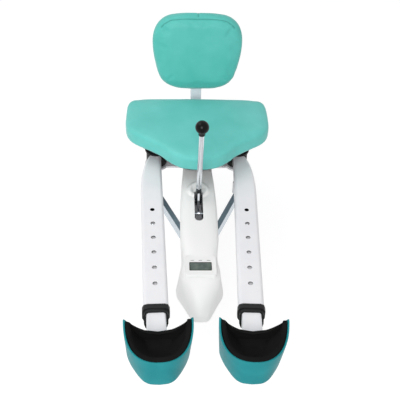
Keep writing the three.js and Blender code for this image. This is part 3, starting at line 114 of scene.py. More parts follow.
paper = bpy.data.materials.new("white_paper_floor")
paper.use_nodes = True
tree = paper.node_tree
tree.nodes.clear()
share = add(tree, "ShaderNodeMath", {1: GLOW_SHARE}, {0: seen_in(tree)}, operation="MULTIPLY")
matt = add(tree, "ShaderNodeBsdfDiffuse", {"Color": linear("f7f7f7")})
glow = add(tree, "ShaderNodeEmission", {"Color": (1, 1, 1, 1), "Strength": GLOW})
both = add(tree, "ShaderNodeMixShader", links={0: share.outputs[0], 1: matt.outputs[0], 2: glow.outputs[0]})
add(tree, "ShaderNodeOutputMaterial", links={"Surface": both.outputs[0]})
floor_mesh.materials.append(paper)

scene.world = bpy.data.worlds.new("white_sky")
scene.world.use_nodes = True
tree = scene.world.node_tree
tree.nodes.clear()
seen = seen_in(tree)
dim = add(tree, "ShaderNodeBackground", {"Color": (1, 1, 1, 1), "Strength": SKY_LIGHT})
full = add(tree, "ShaderNodeBackground", {"Color": (1, 1, 1, 1), "Strength": 1})
both = add(tree, "ShaderNodeMixShader", links={0: seen, 1: dim.outputs[0], 2: full.outputs[0]})
add(tree, "ShaderNodeOutputWorld", links={"Surface": both.outputs[0]})

lamp_aim = Vector((0, 0, 0.2))
for lamp_name, place, size, power in [
    ("left_lamp", (-1.5, 0.6, 2.6), 2.0, 20),
    ("front_lamp", (-0.6, -2.6, 1.9), 1.6, 47),
]:
    lamp = bpy.data.lights.new(lamp_name, "AREA")
    lamp.size = size
    lamp.energy = power
    holder = bpy.data.objects.new(lamp_name, lamp)
    scene.collection.objects.link(holder)
    holder.location = place
    holder.rotation_euler = (lamp_aim - Vector(place)).to_track_quat("-Z", "Y").to_euler()


# ---- Welded floor frame ----
# Square and flat steel tubes, welded and then powder-coated in white: the spine, the uprights,
# the beam under the housing, and the plates, arm and socket that are welded to them.
MM = 0.001

# The machine's own zero, from which every length in this file is measured, lies on the floor here
HOUSING_REAR = 205
zero_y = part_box("housing_cover")[1].y - HOUSING_REAR * MM
machine = Matrix.Translation((0, zero_y, 0)) @ Matrix.Scale(MM, 4)


def finish(name, colour, roughness, **more):
    """A material whose shader starts from one colour and roughness; more sets other inputs by name."""
    made = bpy.data.materials.new(name)
    made.use_nodes = True
    shader = made.node_tree.nodes["Principled BSDF"]
    shader.inputs["Base Color"].default_value = linear(colour)
    shader.inputs["Roughness"].default_value = roughness
    for socket, value in more.items():
        shader.inputs[socket.replace("_", " ")].default_value = value
    place = add(made.node_tree, "ShaderNodeTexCoord").outputs["Object"]
    return made, made.node_tree, shader, place


WELD_REACH, FLAT_WITHIN, EDGE_STEPS, EDGE_ANGLE = 0.02, 0.4, 3, 32


def machined(name, material, edge):
    """Softens a rigid node's edges and gives it its material; its own mesh stays as it is."""
    node = nodes[name]
    node.data.materials.clear()
    node.data.materials.append(material)
    node.data.polygons.foreach_set("use_smooth", [True] * len(node.data.polygons))
    node.data.update()
    weld = node.modifiers.new("weld", "WELD")
    weld.merge_threshold = WELD_REACH * MM
    flat = node.modifiers.new("flat", "DECIMATE")
    flat.decimate_type = "DISSOLVE"
    flat.angle_limit = radians(FLAT_WITHIN)
    flat.delimit = {"MATERIAL"}
    soft = node.modifiers.new("edges", "BEVEL")
    soft.width = edge * MM
    soft.segments = EDGE_STEPS
    soft.limit_method = "ANGLE"
    soft.angle_limit = radians(EDGE_ANGLE)
    even = node.modifiers.new("even", "WEIGHTED_NORMAL")
    even.keep_sharp = True
    return node


def two_tones(ramp, low, dark, high, light):
    """Sets a colour ramp to run from one colour at low to another at high."""
    for end, position, colour in zip(ramp.color_ramp.elements, (low, high), (dark, light)):
        end.position, end.color = position, linear(colour)


# Powder coat: a smooth, semi-gloss skin with a faint orange peel about 2 mm across.
powder_white, tree, shader, place = finish("white_powder_coat", "eceded", 0.34, Coat_Weight=0.15,
                                           Coat_Roughness=0.2)
peel = add(tree, "ShaderNodeTexNoise", {"Scale": 1 / (2 * MM), "Detail": 2, "Roughness": 0.5},
           {"Vector": place})
bump = add(tree, "ShaderNodeBump", {"Strength": 0.06, "Distance": 0.2 * MM}, {"Height": peel.outputs["Fac"]})
tree.links.new(bump.outputs[0], shader.inputs["Normal"])
cloud = add(tree, "ShaderNodeTexNoise", {"Scale": 1 / (70 * MM), "Detail": 3, "Roughness": 0.6},
            {"Vector": place})
tint = add(tree, "ShaderNodeValToRGB", links={"Fac": cloud.outputs["Fac"]})
two_tones(tint, 0.3, "ededf1", 0.7, "f3f2f5")
tree.links.new(tint.outputs["Color"], shader.inputs["Base Color"])
sheen = add(tree, "ShaderNodeMapRange", {"To Min": 0.3, "To Max": 0.4}, {"Value": cloud.outputs["Fac"]})
tree.links.new(sheen.outputs[0], shader.inputs["Roughness"])

for name in ["base_spine", "rear_cross_foot", "front_upright", "main_beam", "pedestal", "plate_spacer",
             "back_arm", "back_socket"]:
    machined(name, powder_white, 0.8)
machined("lower_pivot_plate", powder_white, 0.5)


# ---- Feet and caps ----
# Moulded black rubber: end caps with a foot under each end of the rear cross tube, and a pad in
# front. The rubber is dull and dry, with a fine grit that holds a little dust.
rubber, tree, shader, place = finish("black_rubber", "1b1b1c", 0.75, Specular_IOR_Level=0.2)
grit = add(tree, "ShaderNodeTexNoise", {"Scale": 1 / (1.2 * MM), "Detail": 4, "Roughness": 0.65},
           {"Vector": place})
bump = add(tree, "ShaderNodeBump", {"Strength": 0.35, "Distance": 0.15 * MM}, {"Height": grit.outputs["Fac"]})
tree.links.new(bump.outputs[0], shader.inputs["Normal"])
dust = add(tree, "ShaderNodeValToRGB", links={"Fac": grit.outputs["Fac"]})
two_tones(dust, 0.35, "171718", 0.75, "262626")
tree.links.new(dust.outputs["Color"], shader.inputs["Base Color"])
for name in ["front_foot", "cross_foot_cap_left", "cross_foot_cap_right"]:
    machined(name, rubber, 1.0)


# ---- Upper pivot plate ----
# A steel plate with a round lobe over each leg's pin, which shows beside the seat. Its satin black
# paint has a faint orange peel.
paint_black, tree, shader, place = finish("satin_black_paint", "151517", 0.45, Specular_IOR_Level=0.2)
peel = add(tree, "ShaderNodeTexNoise", {"Scale": 1 / (2 * MM), "Detail": 3, "Roughness": 0.55},
           {"Vector": place})
bump = add(tree, "ShaderNodeBump", {"Strength": 0.12, "Distance": 0.2 * MM}, {"Height": peel.outputs["Fac"]})
tree.links.new(bump.outputs[0], shader.inputs["Normal"])
sheen = add(tree, "ShaderNodeMapRange", {"To Min": 0.36, "To Max": 0.5}, {"Value": peel.outputs["Fac"]})
tree.links.new(sheen.outputs[0], shader.inputs["Roughness"])
machined("upper_pivot_plate", paint_black, 0.6)


# ---- Pins, bearers and plain steel ----
# Zinc-plated steel: the pins that the legs turn on, the bars under the seat and a pawl's pin.
# The plating is a bluish grey with the faint mottling of its bath.
def plated(name, dark, light, smooth, rough):
    """A plated metal: its tone and its polish wander a little over patches about 5 mm across."""
    metal, tree, shader, place = finish(name, light, smooth, Metallic=1)
    spangle = add(tree, "ShaderNodeTexVoronoi", {"Scale": 1 / (5 * MM), "Randomness": 1}, {"Vector": place})
    tone = add(tree, "ShaderNodeValToRGB", links={"Fac": spangle.outputs["Color"]})
    two_tones(tone, 0, dark, 1, light)
    tree.links.new(tone.outputs["Color"], shader.inputs["Base Color"])
    sheen = add(tree, "ShaderNodeMapRange", {"To Min": smooth, "To Max": rough},
                {"Value": spangle.outputs["Distance"]})
    tree.links.new(sheen.outputs[0], shader.inputs["Roughness"])
    scratch = add(tree, "ShaderNodeTexNoise", {"Scale": 1 / (0.8 * MM), "Detail": 3}, {"Vector": place})
    bump = add(tree, "ShaderNodeBump", {"Strength": 0.08, "Distance": 0.1 * MM},
               {"Height": scratch.outputs["Fac"]})
    tree.links.new(bump.outputs[0], shader.inputs["Normal"])
    return metal


zinc = plated("zinc_plated_steel", "9aa3aa", "b4bcc2", 0.28, 0.42)
for name in ["swing_pin_left", "swing_pin_right", "seat_bearer_left", "seat_bearer_right",
             "holding_pawl_pin"]:
    machined(name, zinc, 0.4)


# ---- Backrest post ----
# A flat steel tube, 32 by 20, that slides in the socket behind the seat. It is zinc-plated and
# passivated to a pale, almost white tone with little of a metal's shine.
pale_zinc = plated("pale_zinc_plated_steel", "f4f3fc", "faf8ff", 0.45, 0.55)
pale_zinc.node_tree.nodes["Principled BSDF"].inputs["Metallic"].default_value = 0.05
machined("back_post", pale_zinc, 0.6)


# ---- Shaft, carriage, yoke and gear plates ----
# Working parts of oiled, dark steel, with the lever's yoke among them; their dark tone is partly painted
# shade for the dark inside of the lever's slot. They are seen only through the lever's slot and the side
# windows.
# Their dark steel is partly painted shade for the inside of the lever's slot
oiled_steel_and_slot_shade = plated("oiled_dark_steel_and_slot_shade", "45484b", "5a5d60", 0.4, 0.55)
for name in ["gear_plate_left", "gear_plate_right", "pinion_shaft", "rack_carriage", "lever_yoke"]:
    machined(name, oiled_steel_and_slot_shade, 0.4)


# ---- Link bars ----
# Drawn steel bars with a round eye at each end, in bright steel; the top and the underside get a darker
# blue-grey: painted shade, standing for the dark reflection on the top face and the shade below.
ground = plated("ground_bright_steel", "bcc6cf", "ced8de", 0.22, 0.34)
# Darker tone for the tops and undersides: painted shade and painted dark reflection
bar_top_painted_shade = plated("blue_grey_steel_painted_shade", "6f808b", "7d8e99", 0.34, 0.46)
bar_top_painted_shade.node_tree.nodes["Principled BSDF"].inputs["Metallic"].default_value = 0.35
TOP_OR_UNDERSIDE = 0.7
for name in ["link_bar_left", "link_bar_right"]:
    bar = machined(name, ground, 1.2)
    bar.data.materials.append(bar_top_painted_shade)
    for face in bar.data.polygons:
        face.material_index = int(abs(face.normal.z) > TOP_OR_UNDERSIDE)


# ---- Bushes and guide blocks ----
# Turned nylon, off-white and slightly waxy: bushes round the pins, and blocks that the inner tubes
# slide on.
nylon, tree, shader, place = finish("natural_nylon", "dcdace", 0.45, Subsurface_Weight=0.1)
turned = add(tree, "ShaderNodeTexNoise", {"Scale": 1 / (1.5 * MM), "Detail": 2}, {"Vector": place})
bump = add(tree, "ShaderNodeBump", {"Strength": 0.1, "Distance": 0.1 * MM}, {"Height": turned.outputs["Fac"]})
tree.links.new(bump.outputs[0], shader.inputs["Normal"])
sheen = add(tree, "ShaderNodeMapRange", {"To Min": 0.38, "To Max": 0.52}, {"Value": turned.outputs["Fac"]})
tree.links.new(sheen.outputs[0], shader.inputs["Roughness"])
for name in ["upper_bush_left", "upper_bush_right", "lower_bush_left", "lower_bush_right",
             "guide_block_left", "guide_block_right"]:
    machined(name, nylon, 0.3)


# ---- Leg tubes and inner tubes ----
# Steel tube, 60 by 40 with rounded corners, bent in to a neck at the pin, drilled for the length
# holes and powder-coated; the slimmer inner tube slides in it.
PIVOT_X, PIVOT_Y, TOE_IN, LEG_OFFSET = 117, 260, 2.23, 18
LEG_TOP, LEG_HEIGHT, HOLE_BORE, NECK = 250, 40, 12, 60


def leg_frame(side):
    """From a leg's own frame, at its pin, to the machine's."""
    return Matrix.Translation((side * PIVOT_X, PIVOT_Y, 0)) @ Matrix.Rotation(radians(-side * TOE_IN), 4, "Z")


# The inside of the tube and the edges of its holes get dark, dull steel: painted shade for the dark inside of
# the holes
# Dark steel in the holes: painted shade
hole_shade_steel = plated("dark_steel_painted_hole_shade", "1f2123", "2c2e31", 0.6, 0.75)
INWARD, UPRIGHT, HOLE_MARGIN = -0.35, 0.5, 0.5
for side, name in [(-1, "leg_tube_left"), (1, "leg_tube_right")]:
    tube = machined(name, powder_white, 0.6)
    tube.data.materials.append(hole_shade_steel)
    to_leg = leg_frame(side).inverted() @ machine.inverted() @ tube.matrix_world
    for face in tube.data.polygons:
        centre = to_leg @ face.center
        facing = (to_leg.to_3x3() @ face.normal).normalized()
        out = Vector((centre.x - side * LEG_OFFSET, 0, centre.z - LEG_TOP + LEG_HEIGHT / 2))
        bore = facing.dot(out.normalized()) < INWARD
        hole = abs(out.x) < HOLE_BORE / 2 + HOLE_MARGIN and abs(facing.z) < UPRIGHT
        face.material_index = int(centre.y < -NECK and (bore or hole))
for name in ["inner_tube_left", "inner_tube_right"]:
    machined(name, powder_white, 0.5)


# ---- Boots, collars and star knob ----
# Black moulded polypropylene: a half-round boot round each pin barrel, the collar with its slanted
# nozzle that closes the front of each leg tube, and the knob that locks the backrest.
black_plastic, tree, shader, place = finish("black_polypropylene", "1d1d1e", 0.5, Specular_IOR_Level=0.2)
mould = add(tree, "ShaderNodeTexNoise", {"Scale": 1 / (0.9 * MM), "Detail": 3, "Roughness": 0.6},
            {"Vector": place})
bump = add(tree, "ShaderNodeBump", {"Strength": 0.18, "Distance": 0.12 * MM},
           {"Height": mould.outputs["Fac"]})
tree.links.new(bump.outputs[0], shader.inputs["Normal"])
sheen = add(tree, "ShaderNodeMapRange", {"To Min": 0.42, "To Max": 0.56}, {"Value": mould.outputs["Fac"]})
tree.links.new(sheen.outputs[0], shader.inputs["Roughness"])
for name in ["pivot_boot_left", "pivot_boot_right"]:
    machined(name, black_plastic, 0.8)
for name in ["collar_left", "collar_right"]:
    machined(name, black_plastic, 1.6)
machined("star_knob", black_plastic, 1.2)


# ---- Snap buttons, lever rod and pawls ----
# Chromed steel: a bright mirror skin, whose polish is a little uneven. The buttons lock the inner
# tubes, and the pawls drive and hold the ratchet wheel.
chrome, tree, shader, place = finish("bright_chrome", "d9dee2", 0.08, Metallic=1)
polish = add(tree, "ShaderNodeTexNoise", {"Scale": 1 / (3 * MM), "Detail": 4, "Roughness": 0.7},
             {"Vector": place})
sheen = add(tree, "ShaderNodeMapRange", {"To Min": 0.05, "To Max": 0.14}, {"Value": polish.outputs["Fac"]})
tree.links.new(sheen.outputs[0], shader.inputs["Roughness"])
for name in ["snap_button_left", "snap_button_right", "lever_rod", "drive_pawl", "holding_pawl"]:
    machined(name, chrome, 0.35)


# ---- Ratchet wheel ----
# A toothed steel wheel, hardened, with the dull grey, faintly mottled skin that the quench leaves.
# Its teeth show in the lever's slot.
dark_steel, tree, shader, place = finish("quenched_steel", "74767a", 0.5, Metallic=0.3)
scale_marks = add(tree, "ShaderNodeTexNoise", {"Scale": 1 / (4 * MM), "Detail": 4}, {"Vector": place})
tone = add(tree, "ShaderNodeValToRGB", links={"Fac": scale_marks.outputs["Fac"]})
two_tones(tone, 0, "6b6d71", 1, "83868a")
tree.links.new(tone.outputs["Color"], shader.inputs["Base Color"])
machined("ratchet_wheel", dark_steel, 0.3)


# ---- Ball knob ----
# A turned ball of gloss black phenolic with a short neck, screwed on the lever's end. It gives small,
# sharp highlights.
def lathe(name, profile, sides, place):
    """A turned piece: its profile of radii and heights swept about its own Z, then put in place."""
    bm = bmesh.new()
    rows = []
    for radius, height in profile:
        ring = [(radius * cos(2 * pi * i / sides), radius * sin(2 * pi * i / sides), height)
                for i in range(sides)]
        rows.append([bm.verts.new(place @ Vector(p)) for p in ring])
    for low, high in zip(rows, rows[1:]):
        for i in range(sides):
            bm.faces.new((low[i - 1], low[i], high[i], high[i - 1]))
    bm.faces.new(rows[0][::-1])
    bm.faces.new(rows[-1])
    return new_piece(name, bm)


def new_piece(name, bm):
    """A smooth-shaded object from a finished bmesh."""
    bmesh.ops.remove_doubles(bm, verts=bm.verts, dist=0.00001)
    bmesh.ops.recalc_face_normals(bm, faces=bm.faces)
    for face in bm.faces:
        face.smooth = True
    mesh = bpy.data.meshes.new(name)
    bm.to_mesh(mesh)
    bm.free()
    made = bpy.data.objects.new(name, mesh)
    scene.collection.objects.link(made)
    return made


SHAFT_Y, SHAFT_Z, LEVER_LENGTH, LEVER_LEAN = 90, 204, 296, 11.8
KNOB, KNOB_NECK, NECK_FOOT, NECK_CHAMFER = 35, 18, 7.3, 0.8
KNOB_TIP, KNOB_STEPS, KNOB_SIDES = 0.02, 32, 64
lever_lean = Matrix.Rotation(radians(LEVER_LEAN), 4, "X")
lever_place = machine @ Matrix.Translation((0, SHAFT_Y, SHAFT_Z)) @ lever_lean
neck_angle = -math.acos(KNOB_NECK / KNOB)
knob_foot = LEVER_LENGTH - KNOB / 2 - KNOB_NECK / 2
knob_profile = [(NECK_FOOT, knob_foot), (KNOB_NECK / 2 - NECK_CHAMFER, knob_foot),
                (KNOB_NECK / 2, knob_foot + NECK_CHAMFER)]
for i in range(KNOB_STEPS + 1):
    angle = neck_angle + (pi / 2 - neck_angle) * i / KNOB_STEPS
    knob_profile.append((max(KNOB / 2 * cos(angle), KNOB_TIP), LEVER_LENGTH + KNOB / 2 * sin(angle)))
ball_knob = lathe("ball_knob_turned", knob_profile, KNOB_SIDES, lever_place)
phenolic, tree, shader, place = finish("black_phenolic", "090908", 0.14, Specular_IOR_Level=0.14)
swirl = add(tree, "ShaderNodeTexNoise", {"Scale": 1 / (6 * MM), "Detail": 3, "Distortion": 1.2},
            {"Vector": place})
sheen = add(tree, "ShaderNodeMapRange", {"To Min": 0.12, "To Max": 0.22}, {"Value": swirl.outputs["Fac"]})
tree.links.new(sheen.outputs[0], shader.inputs["Roughness"])
ball_knob.data.materials.append(phenolic)
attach(ball_knob, "lever")
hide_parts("ball_knob")


# ---- Housing ----
# An injection-moulded white ABS cover that runs from under the seat to a blunt pointed nose.
# A long slot for the lever ends in a dished collar over the ratchet, and the display has a raised panel.
HOUSING_LENGTH, HOUSING_WIDTH, HOUSING_DEPTH, HOUSING_WALL, CROWN_FLATNESS = 462, 124, 155, 3, 0.68
# Down the length: its share, the half widths above and below, the drop of the top, and the crown's share
housing_rows = [
    (0, 0.66, 0.62, 0.065, 0.13), (0.175, 0.76, 0.68, 0.13, 0.14), (0.357, 0.815, 0.71, 0.213, 0.15),
    (0.541, 0.823, 0.73, 0.29, 0.16), (0.606, 0.78, 0.75, 0.32, 0.17), (0.66, 0.73, 0.83, 0.35, 0.18),
    (0.703, 0.74, 0.93, 0.378, 0.19), (0.768, 0.82, 1, 0.41, 0.2), (0.816, 0.84, 0.955, 0.45, 0.23),
    (0.848, 0.79, 0.85, 0.49, 0.32), (0.879, 0.69, 0.735, 0.545, 0.45), (0.909, 0.59, 0.63, 0.615, 0.55),
    (0.939, 0.495, 0.53, 0.7, 0.6), (0.968, 0.4, 0.43, 0.79, 0.62), (0.987, 0.31, 0.34, 0.86, 0.62),
    (1, 0.19, 0.22, 0.91, 0.6),
]


def smooth_table(rows, count):
    """A table of rows read at even steps of its first column, on a curve that doesn't overshoot."""
    table = np.array(rows, float)
    x = table[:, 0]
    steps = np.diff(x)
    out = [np.linspace(x[0], x[-1], count)]
    for column in table.T[1:]:
        slopes = np.diff(column) / steps
        tangent = np.zeros(len(x))
        for i in range(1, len(x) - 1):
            if slopes[i - 1] * slopes[i] > 0:
                tangent[i] = 2 / (1 / slopes[i - 1] + 1 / slopes[i])
        tangent[0], tangent[-1] = slopes[0], slopes[-1]
        place = np.clip(np.searchsorted(x, out[0], side="right") - 1, 0, len(x) - 2)
        h = steps[place]
        t = (out[0] - x[place]) / h
        out.append(
            column[place] * (1 + 2 * t) * (1 - t) ** 2 + tangent[place] * h * t * (1 - t) ** 2
            + column[place + 1] * t * t * (3 - 2 * t) + tangent[place + 1] * h * t * t * (t - 1))
    return np.array(out).T


FOOT_STEPS, CROWN_STEPS = 6, 48


def housing_ring(row, inset, floor_z):
    """One section of the cover, from its right foot over the crown to its left foot."""
    along, wide_top, wide_bottom, drop, crown_share = row
    y = HOUSING_REAR - along * (HOUSING_LENGTH - 2 * inset)
    half = max(wide_top * HOUSING_WIDTH / 2 - inset, inset)
    foot = max(wide_bottom * HOUSING_WIDTH / 2 - inset, inset)
    top = LEG_TOP - drop * HOUSING_DEPTH - inset
    crown = (top - floor_z) * crown_share
    power = CROWN_FLATNESS + (1 - CROWN_FLATNESS) * crown_share
    shoulder = top - crown
    ring = [(foot + (half - foot) * i / FOOT_STEPS, y, floor_z + (shoulder - floor_z) * i / FOOT_STEPS)
            for i in range(FOOT_STEPS)]
    for i in range(CROWN_STEPS + 1):
        angle = pi * i / CROWN_STEPS
        x = half * math.copysign(abs(cos(angle)) ** power, cos(angle))
        ring.append((x, y, shoulder + crown * max(sin(angle), 0) ** power))
    ring += [(-x, y, z) for x, y, z in ring[FOOT_STEPS - 1::-1]]
    return [Vector(p) for p in ring]


def skin(name, rings, closed=True, caps=(True, True)):
    """A skin through equal rings of points, which are in millimetres from the machine's zero."""
    bm = bmesh.new()
    rows = [[bm.verts.new(machine @ Vector(p)) for p in ring] for ring in rings]
    for low, high in zip(rows, rows[1:]):
        for i in range(0 if closed else 1, len(low)):
            bm.faces.new((low[i - 1], low[i], high[i], high[i - 1]))
    if caps[0]:
        bm.faces.new(rows[0][::-1])
    if caps[1]:
        bm.faces.new(rows[-1])
    return new_piece(name, bm)


def settle(piece):
    """Turns a piece's modifiers into its plain mesh."""
    view = bpy.context.evaluated_depsgraph_get()
    made = bpy.data.meshes.new_from_object(piece.evaluated_get(view), depsgraph=view)
    piece.modifiers.clear()
    piece.data = made


def carve(piece, *tools, operation="DIFFERENCE"):
    """Cuts tools out of a piece, or joins them to it, and clears them away."""
    for tool in tools:
        work = piece.modifiers.new("carve", "BOOLEAN")
        work.operation = operation
        work.solver = "EXACT"
        work.object = tool
    settle(piece)
    for tool in tools:
        bpy.data.objects.remove(tool)


# The room inside runs out past the open rear end and the open underside
HOUSING_RINGS, REAR_OVERRUN, FLOOR_OVERRUN = 120, 0.02, 5
housing_floor = LEG_TOP - HOUSING_DEPTH
outer_rows = smooth_table(housing_rows, HOUSING_RINGS)
housing = skin("housing_shell", [housing_ring(row, 0, housing_floor) for row in outer_rows])
inner = skin("housing_room", [
    housing_ring((row[0] if i else -REAR_OVERRUN, *row[1:]), HOUSING_WALL, housing_floor - FLOOR_OVERRUN)
    for i, row in enumerate(outer_rows)])

# The collar at the slot's rear: along its profile, the share of its radius and of its rise
MOUTH_RADIUS, MOUTH_Y, MOUTH_RISE, MOUTH_TILT = 33, 110, 6, 8.7
MOUTH_DROP_SHARE, MOUTH_STEPS, MOUTH_SIDES = 0.152, 28, 72
mouth_rows = smooth_table([
    (0, 1, 0), (0.12, 0.94, 0.18), (0.24, 0.85, 0.6), (0.36, 0.77, 0.9), (0.46, 0.69, 1), (0.57, 0.61, 0.9),
    (0.7, 0.52, 0.6), (0.85, 0.43, 0.25), (1, 0.3, 0)], MOUTH_STEPS)
mouth_profile = [(out * MOUTH_RADIUS, rise * MOUTH_RISE) for _, out, rise in mouth_rows]
mouth_place = machine @ Matrix.Translation((0, MOUTH_Y, LEG_TOP - HOUSING_DEPTH * MOUTH_DROP_SHARE))
mouth = lathe("mouth", [(MOUTH_RADIUS, -MOUTH_RISE)] + mouth_profile, MOUTH_SIDES,
              mouth_place @ Matrix.Rotation(radians(MOUTH_TILT), 4, "X"))

PANEL_Y, PANEL_DROP, PANEL_TILT = -147, 60.6, 4
PANEL_WIDTH, PANEL_LENGTH, PANEL_CORNER, PANEL_DEPTH, PANEL_EDGE, PANEL_EDGE_STEPS = 82, 68, 10, 18, 2, 6
panel_slope = Matrix.Rotation(radians(PANEL_TILT), 4, "X")
panel_place = Matrix.Translation((0, PANEL_Y, LEG_TOP - PANEL_DROP)) @ panel_slope


def rounded(width, length, corner, steps=8):
    """A rounded rectangle, counter-clockwise, as pairs."""
    points = []
    for quarter, (a, b) in enumerate([(1, 1), (-1, 1), (-1, -1), (1, -1)]):
        for i in range(steps + 1):
            angle = (quarter + i / steps) * pi / 2
            points.append((a * (width / 2 - corner) + corner * cos(angle),
                           b * (length / 2 - corner) + corner * sin(angle)))
    return points


def panel_ring(inset, z):
    """The panel's outline, drawn in by inset, at a height over its face."""
    points = rounded(PANEL_WIDTH - 2 * inset, PANEL_LENGTH - 2 * inset, PANEL_CORNER - inset)
    return [panel_place @ Vector((a, b, z)) for a, b in points]


panel_edge = [(PANEL_EDGE * (1 - cos(a)), PANEL_EDGE * (sin(a) - 1))
              for a in [pi / 2 / PANEL_EDGE_STEPS * i for i in range(PANEL_EDGE_STEPS + 1)]]
panel = skin("panel", [panel_ring(0, -PANEL_DEPTH)] + [panel_ring(inset, z) for inset, z in panel_edge])
carve(housing, mouth, panel, operation="UNION")

SLOT_WIDTH, SLOT_FRONT, SLOT_REAR, SLOT_STEPS, SLOT_OVERRUN = 23, 0, 108, 16, 20
slot_rounds = [(SLOT_WIDTH / 2 * cos(a), SLOT_REAR - SLOT_WIDTH / 2 + SLOT_WIDTH / 2 * sin(a))
               for a in [pi * i / SLOT_STEPS for i in range(SLOT_STEPS + 1)]]
slot_rounds += [(SLOT_WIDTH / 2 * cos(a), SLOT_FRONT + SLOT_WIDTH / 2 + SLOT_WIDTH / 2 * sin(a))
                for a in [pi + pi * i / SLOT_STEPS for i in range(SLOT_STEPS + 1)]]
slot = skin("slot", [[(x, y, z) for x, y in slot_rounds] for z in (SHAFT_Z, LEG_TOP + SLOT_OVERRUN)])

WINDOW_FRONT, WINDOW_REAR, WINDOW_LOW, WINDOW_HIGH, WINDOW_REACH = -40, 145, 144, 180, 130
window = [(WINDOW_FRONT, WINDOW_LOW), (WINDOW_REAR, WINDOW_LOW), (WINDOW_REAR, WINDOW_HIGH),
          (WINDOW_FRONT, WINDOW_HIGH)]
windows = skin("windows", [[(x, y, z) for y, z in window] for x in (-WINDOW_REACH, WINDOW_REACH)])

RECESS_WIDTH, RECESS_LENGTH, RECESS_CORNER, RECESS_SHIFT, RECESS_DEPTH = 57.6, 28.6, 2.2, 4, 6
recess_outline = rounded(RECESS_WIDTH, RECESS_LENGTH, RECESS_CORNER)
recess = skin("recess", [[panel_place @ Vector((a, b - RECESS_SHIFT, z)) for a, b in recess_outline]
                         for z in (-RECESS_DEPTH, RECESS_DEPTH)])
carve(housing, inner, slot, windows, recess)

HOUSING_EDGE, HOUSING_EDGE_ANGLE = 0.7, 38
soft = housing.modifiers.new("edges", "BEVEL")
soft.width = HOUSING_EDGE * MM
soft.segments = EDGE_STEPS
soft.limit_method = "ANGLE"
soft.angle_limit = radians(HOUSING_EDGE_ANGLE)
even = housing.modifiers.new("even", "WEIGHTED_NORMAL")
even.keep_sharp = True

abs_white, tree, shader, place = finish("white_abs", "f1f1f0", 0.36)
spark = add(tree, "ShaderNodeTexNoise", {"Scale": 1 / (1 * MM), "Detail": 2, "Roughness": 0.6},
            {"Vector": place})
bump = add(tree, "ShaderNodeBump", {"Strength": 0.08, "Distance": 0.1 * MM}, {"Height": spark.outputs["Fac"]})
tree.links.new(bump.outputs[0], shader.inputs["Normal"])
flow = add(tree, "ShaderNodeTexNoise", {"Scale": 1 / (90 * MM), "Detail": 2}, {"Vector": place})
sheen = add(tree, "ShaderNodeMapRange", {"To Min": 0.32, "To Max": 0.42}, {"Value": flow.outputs["Fac"]})
tree.links.new(sheen.outputs[0], shader.inputs["Roughness"])
housing.data.materials.clear()
housing.data.materials.append(abs_white)
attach(housing, "base")
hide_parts("housing_cover")


# ---- Display ----
# A small liquid crystal display in a black moulded frame. Its glass is grey-green while it is off,
# and a little cloudy.
machined("display_bezel", black_plastic, 0.4)
lcd, tree, shader, place = finish("unlit_liquid_crystal", "56635d", 0.3, Specular_IOR_Level=0.25)
cells = add(tree, "ShaderNodeTexNoise", {"Scale": 1 / (14 * MM), "Detail": 2}, {"Vector": place})
tone = add(tree, "ShaderNodeValToRGB", links={"Fac": cells.outputs["Fac"]})
two_tones(tone, 0.35, "4e5c57", 0.7, "647069")
tree.links.new(tone.outputs["Color"], shader.inputs["Base Color"])
machined("display_glass", lcd, 0.2)

# Three small plain dashes, printed in grey ink on the panel behind the display
ink, tree, shader, place = finish("grey_printing_ink", "7b7d7c", 0.6, Specular_IOR_Level=0.3)
specks = add(tree, "ShaderNodeTexNoise", {"Scale": 1 / (0.5 * MM), "Detail": 2}, {"Vector": place})
tone = add(tree, "ShaderNodeValToRGB", links={"Fac": specks.outputs["Fac"]})
two_tones(tone, 0, "6d6f6e", 1, "8f9190")
tree.links.new(tone.outputs["Color"], shader.inputs["Base Color"])
DASH_LENGTH, DASH_WIDTH, DASH_CORNER, DASH_SPACE, DASH_B = 9, 1.6, 0.6, 21, 16
DASH_SINK, DASH_RISE = -0.3, 0.12
dash_outline = rounded(DASH_LENGTH, DASH_WIDTH, DASH_CORNER, 4)
for index, name in enumerate(["dash_left", "dash_middle", "dash_right"]):
    a0 = (index - 1) * DASH_SPACE
    dash = skin(name, [[panel_place @ Vector((a0 + a, DASH_B + b, z)) for a, b in dash_outline]
                       for z in (DASH_SINK, DASH_RISE)])
    dash.data.materials.append(ink)
    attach(dash, "base")


# ---- Ankle cups ----
# A satin teal scoop of injection-moulded polypropylene, with two high rear tips, a lower front
# and a saddle over the inner tube, which is screwed up into its floor.
CUP_WIDTH, CUP_SHIFT, CUP_REAR, CUP_FRONT_LENGTH, CUP_REAR_LENGTH = 154, 3, 694, 90, 12
CUP_TIP_RISE, CUP_FRONT_RISE, CUP_SADDLE_RISE, CUP_DEPTH, CUP_WALL, CUP_TAPER = 66, 33, 12, 50, 4, 6
RIM_POWER, REAR_POWER, REAR_CLIMB, FRONT_CLIMB, TIP_CLIMB, LAP_POWER = 0.87, 0.3, 2.4, 1.6, 4, 3
INNER_TUBE_DROP, CLEARANCE, NOTCH_HALF, NOTCH_LOW = 5, 0.3, 23.3, 214.7
CUP_FLOOR_Z = LEG_TOP - INNER_TUBE_DROP + CLEARANCE + CUP_WALL

# The front half of the foot's outline, as shares of its half width and of its length
cup_foot = smooth_table([(i / 10, *pair) for i, pair in enumerate([
    (1, 0), (0.965, 0.115), (0.925, 0.215), (0.875, 0.325), (0.82, 0.425), (0.755, 0.53), (0.68, 0.645),
    (0.59, 0.765), (0.47, 0.885), (0.27, 0.975), (0, 1)])], 101)


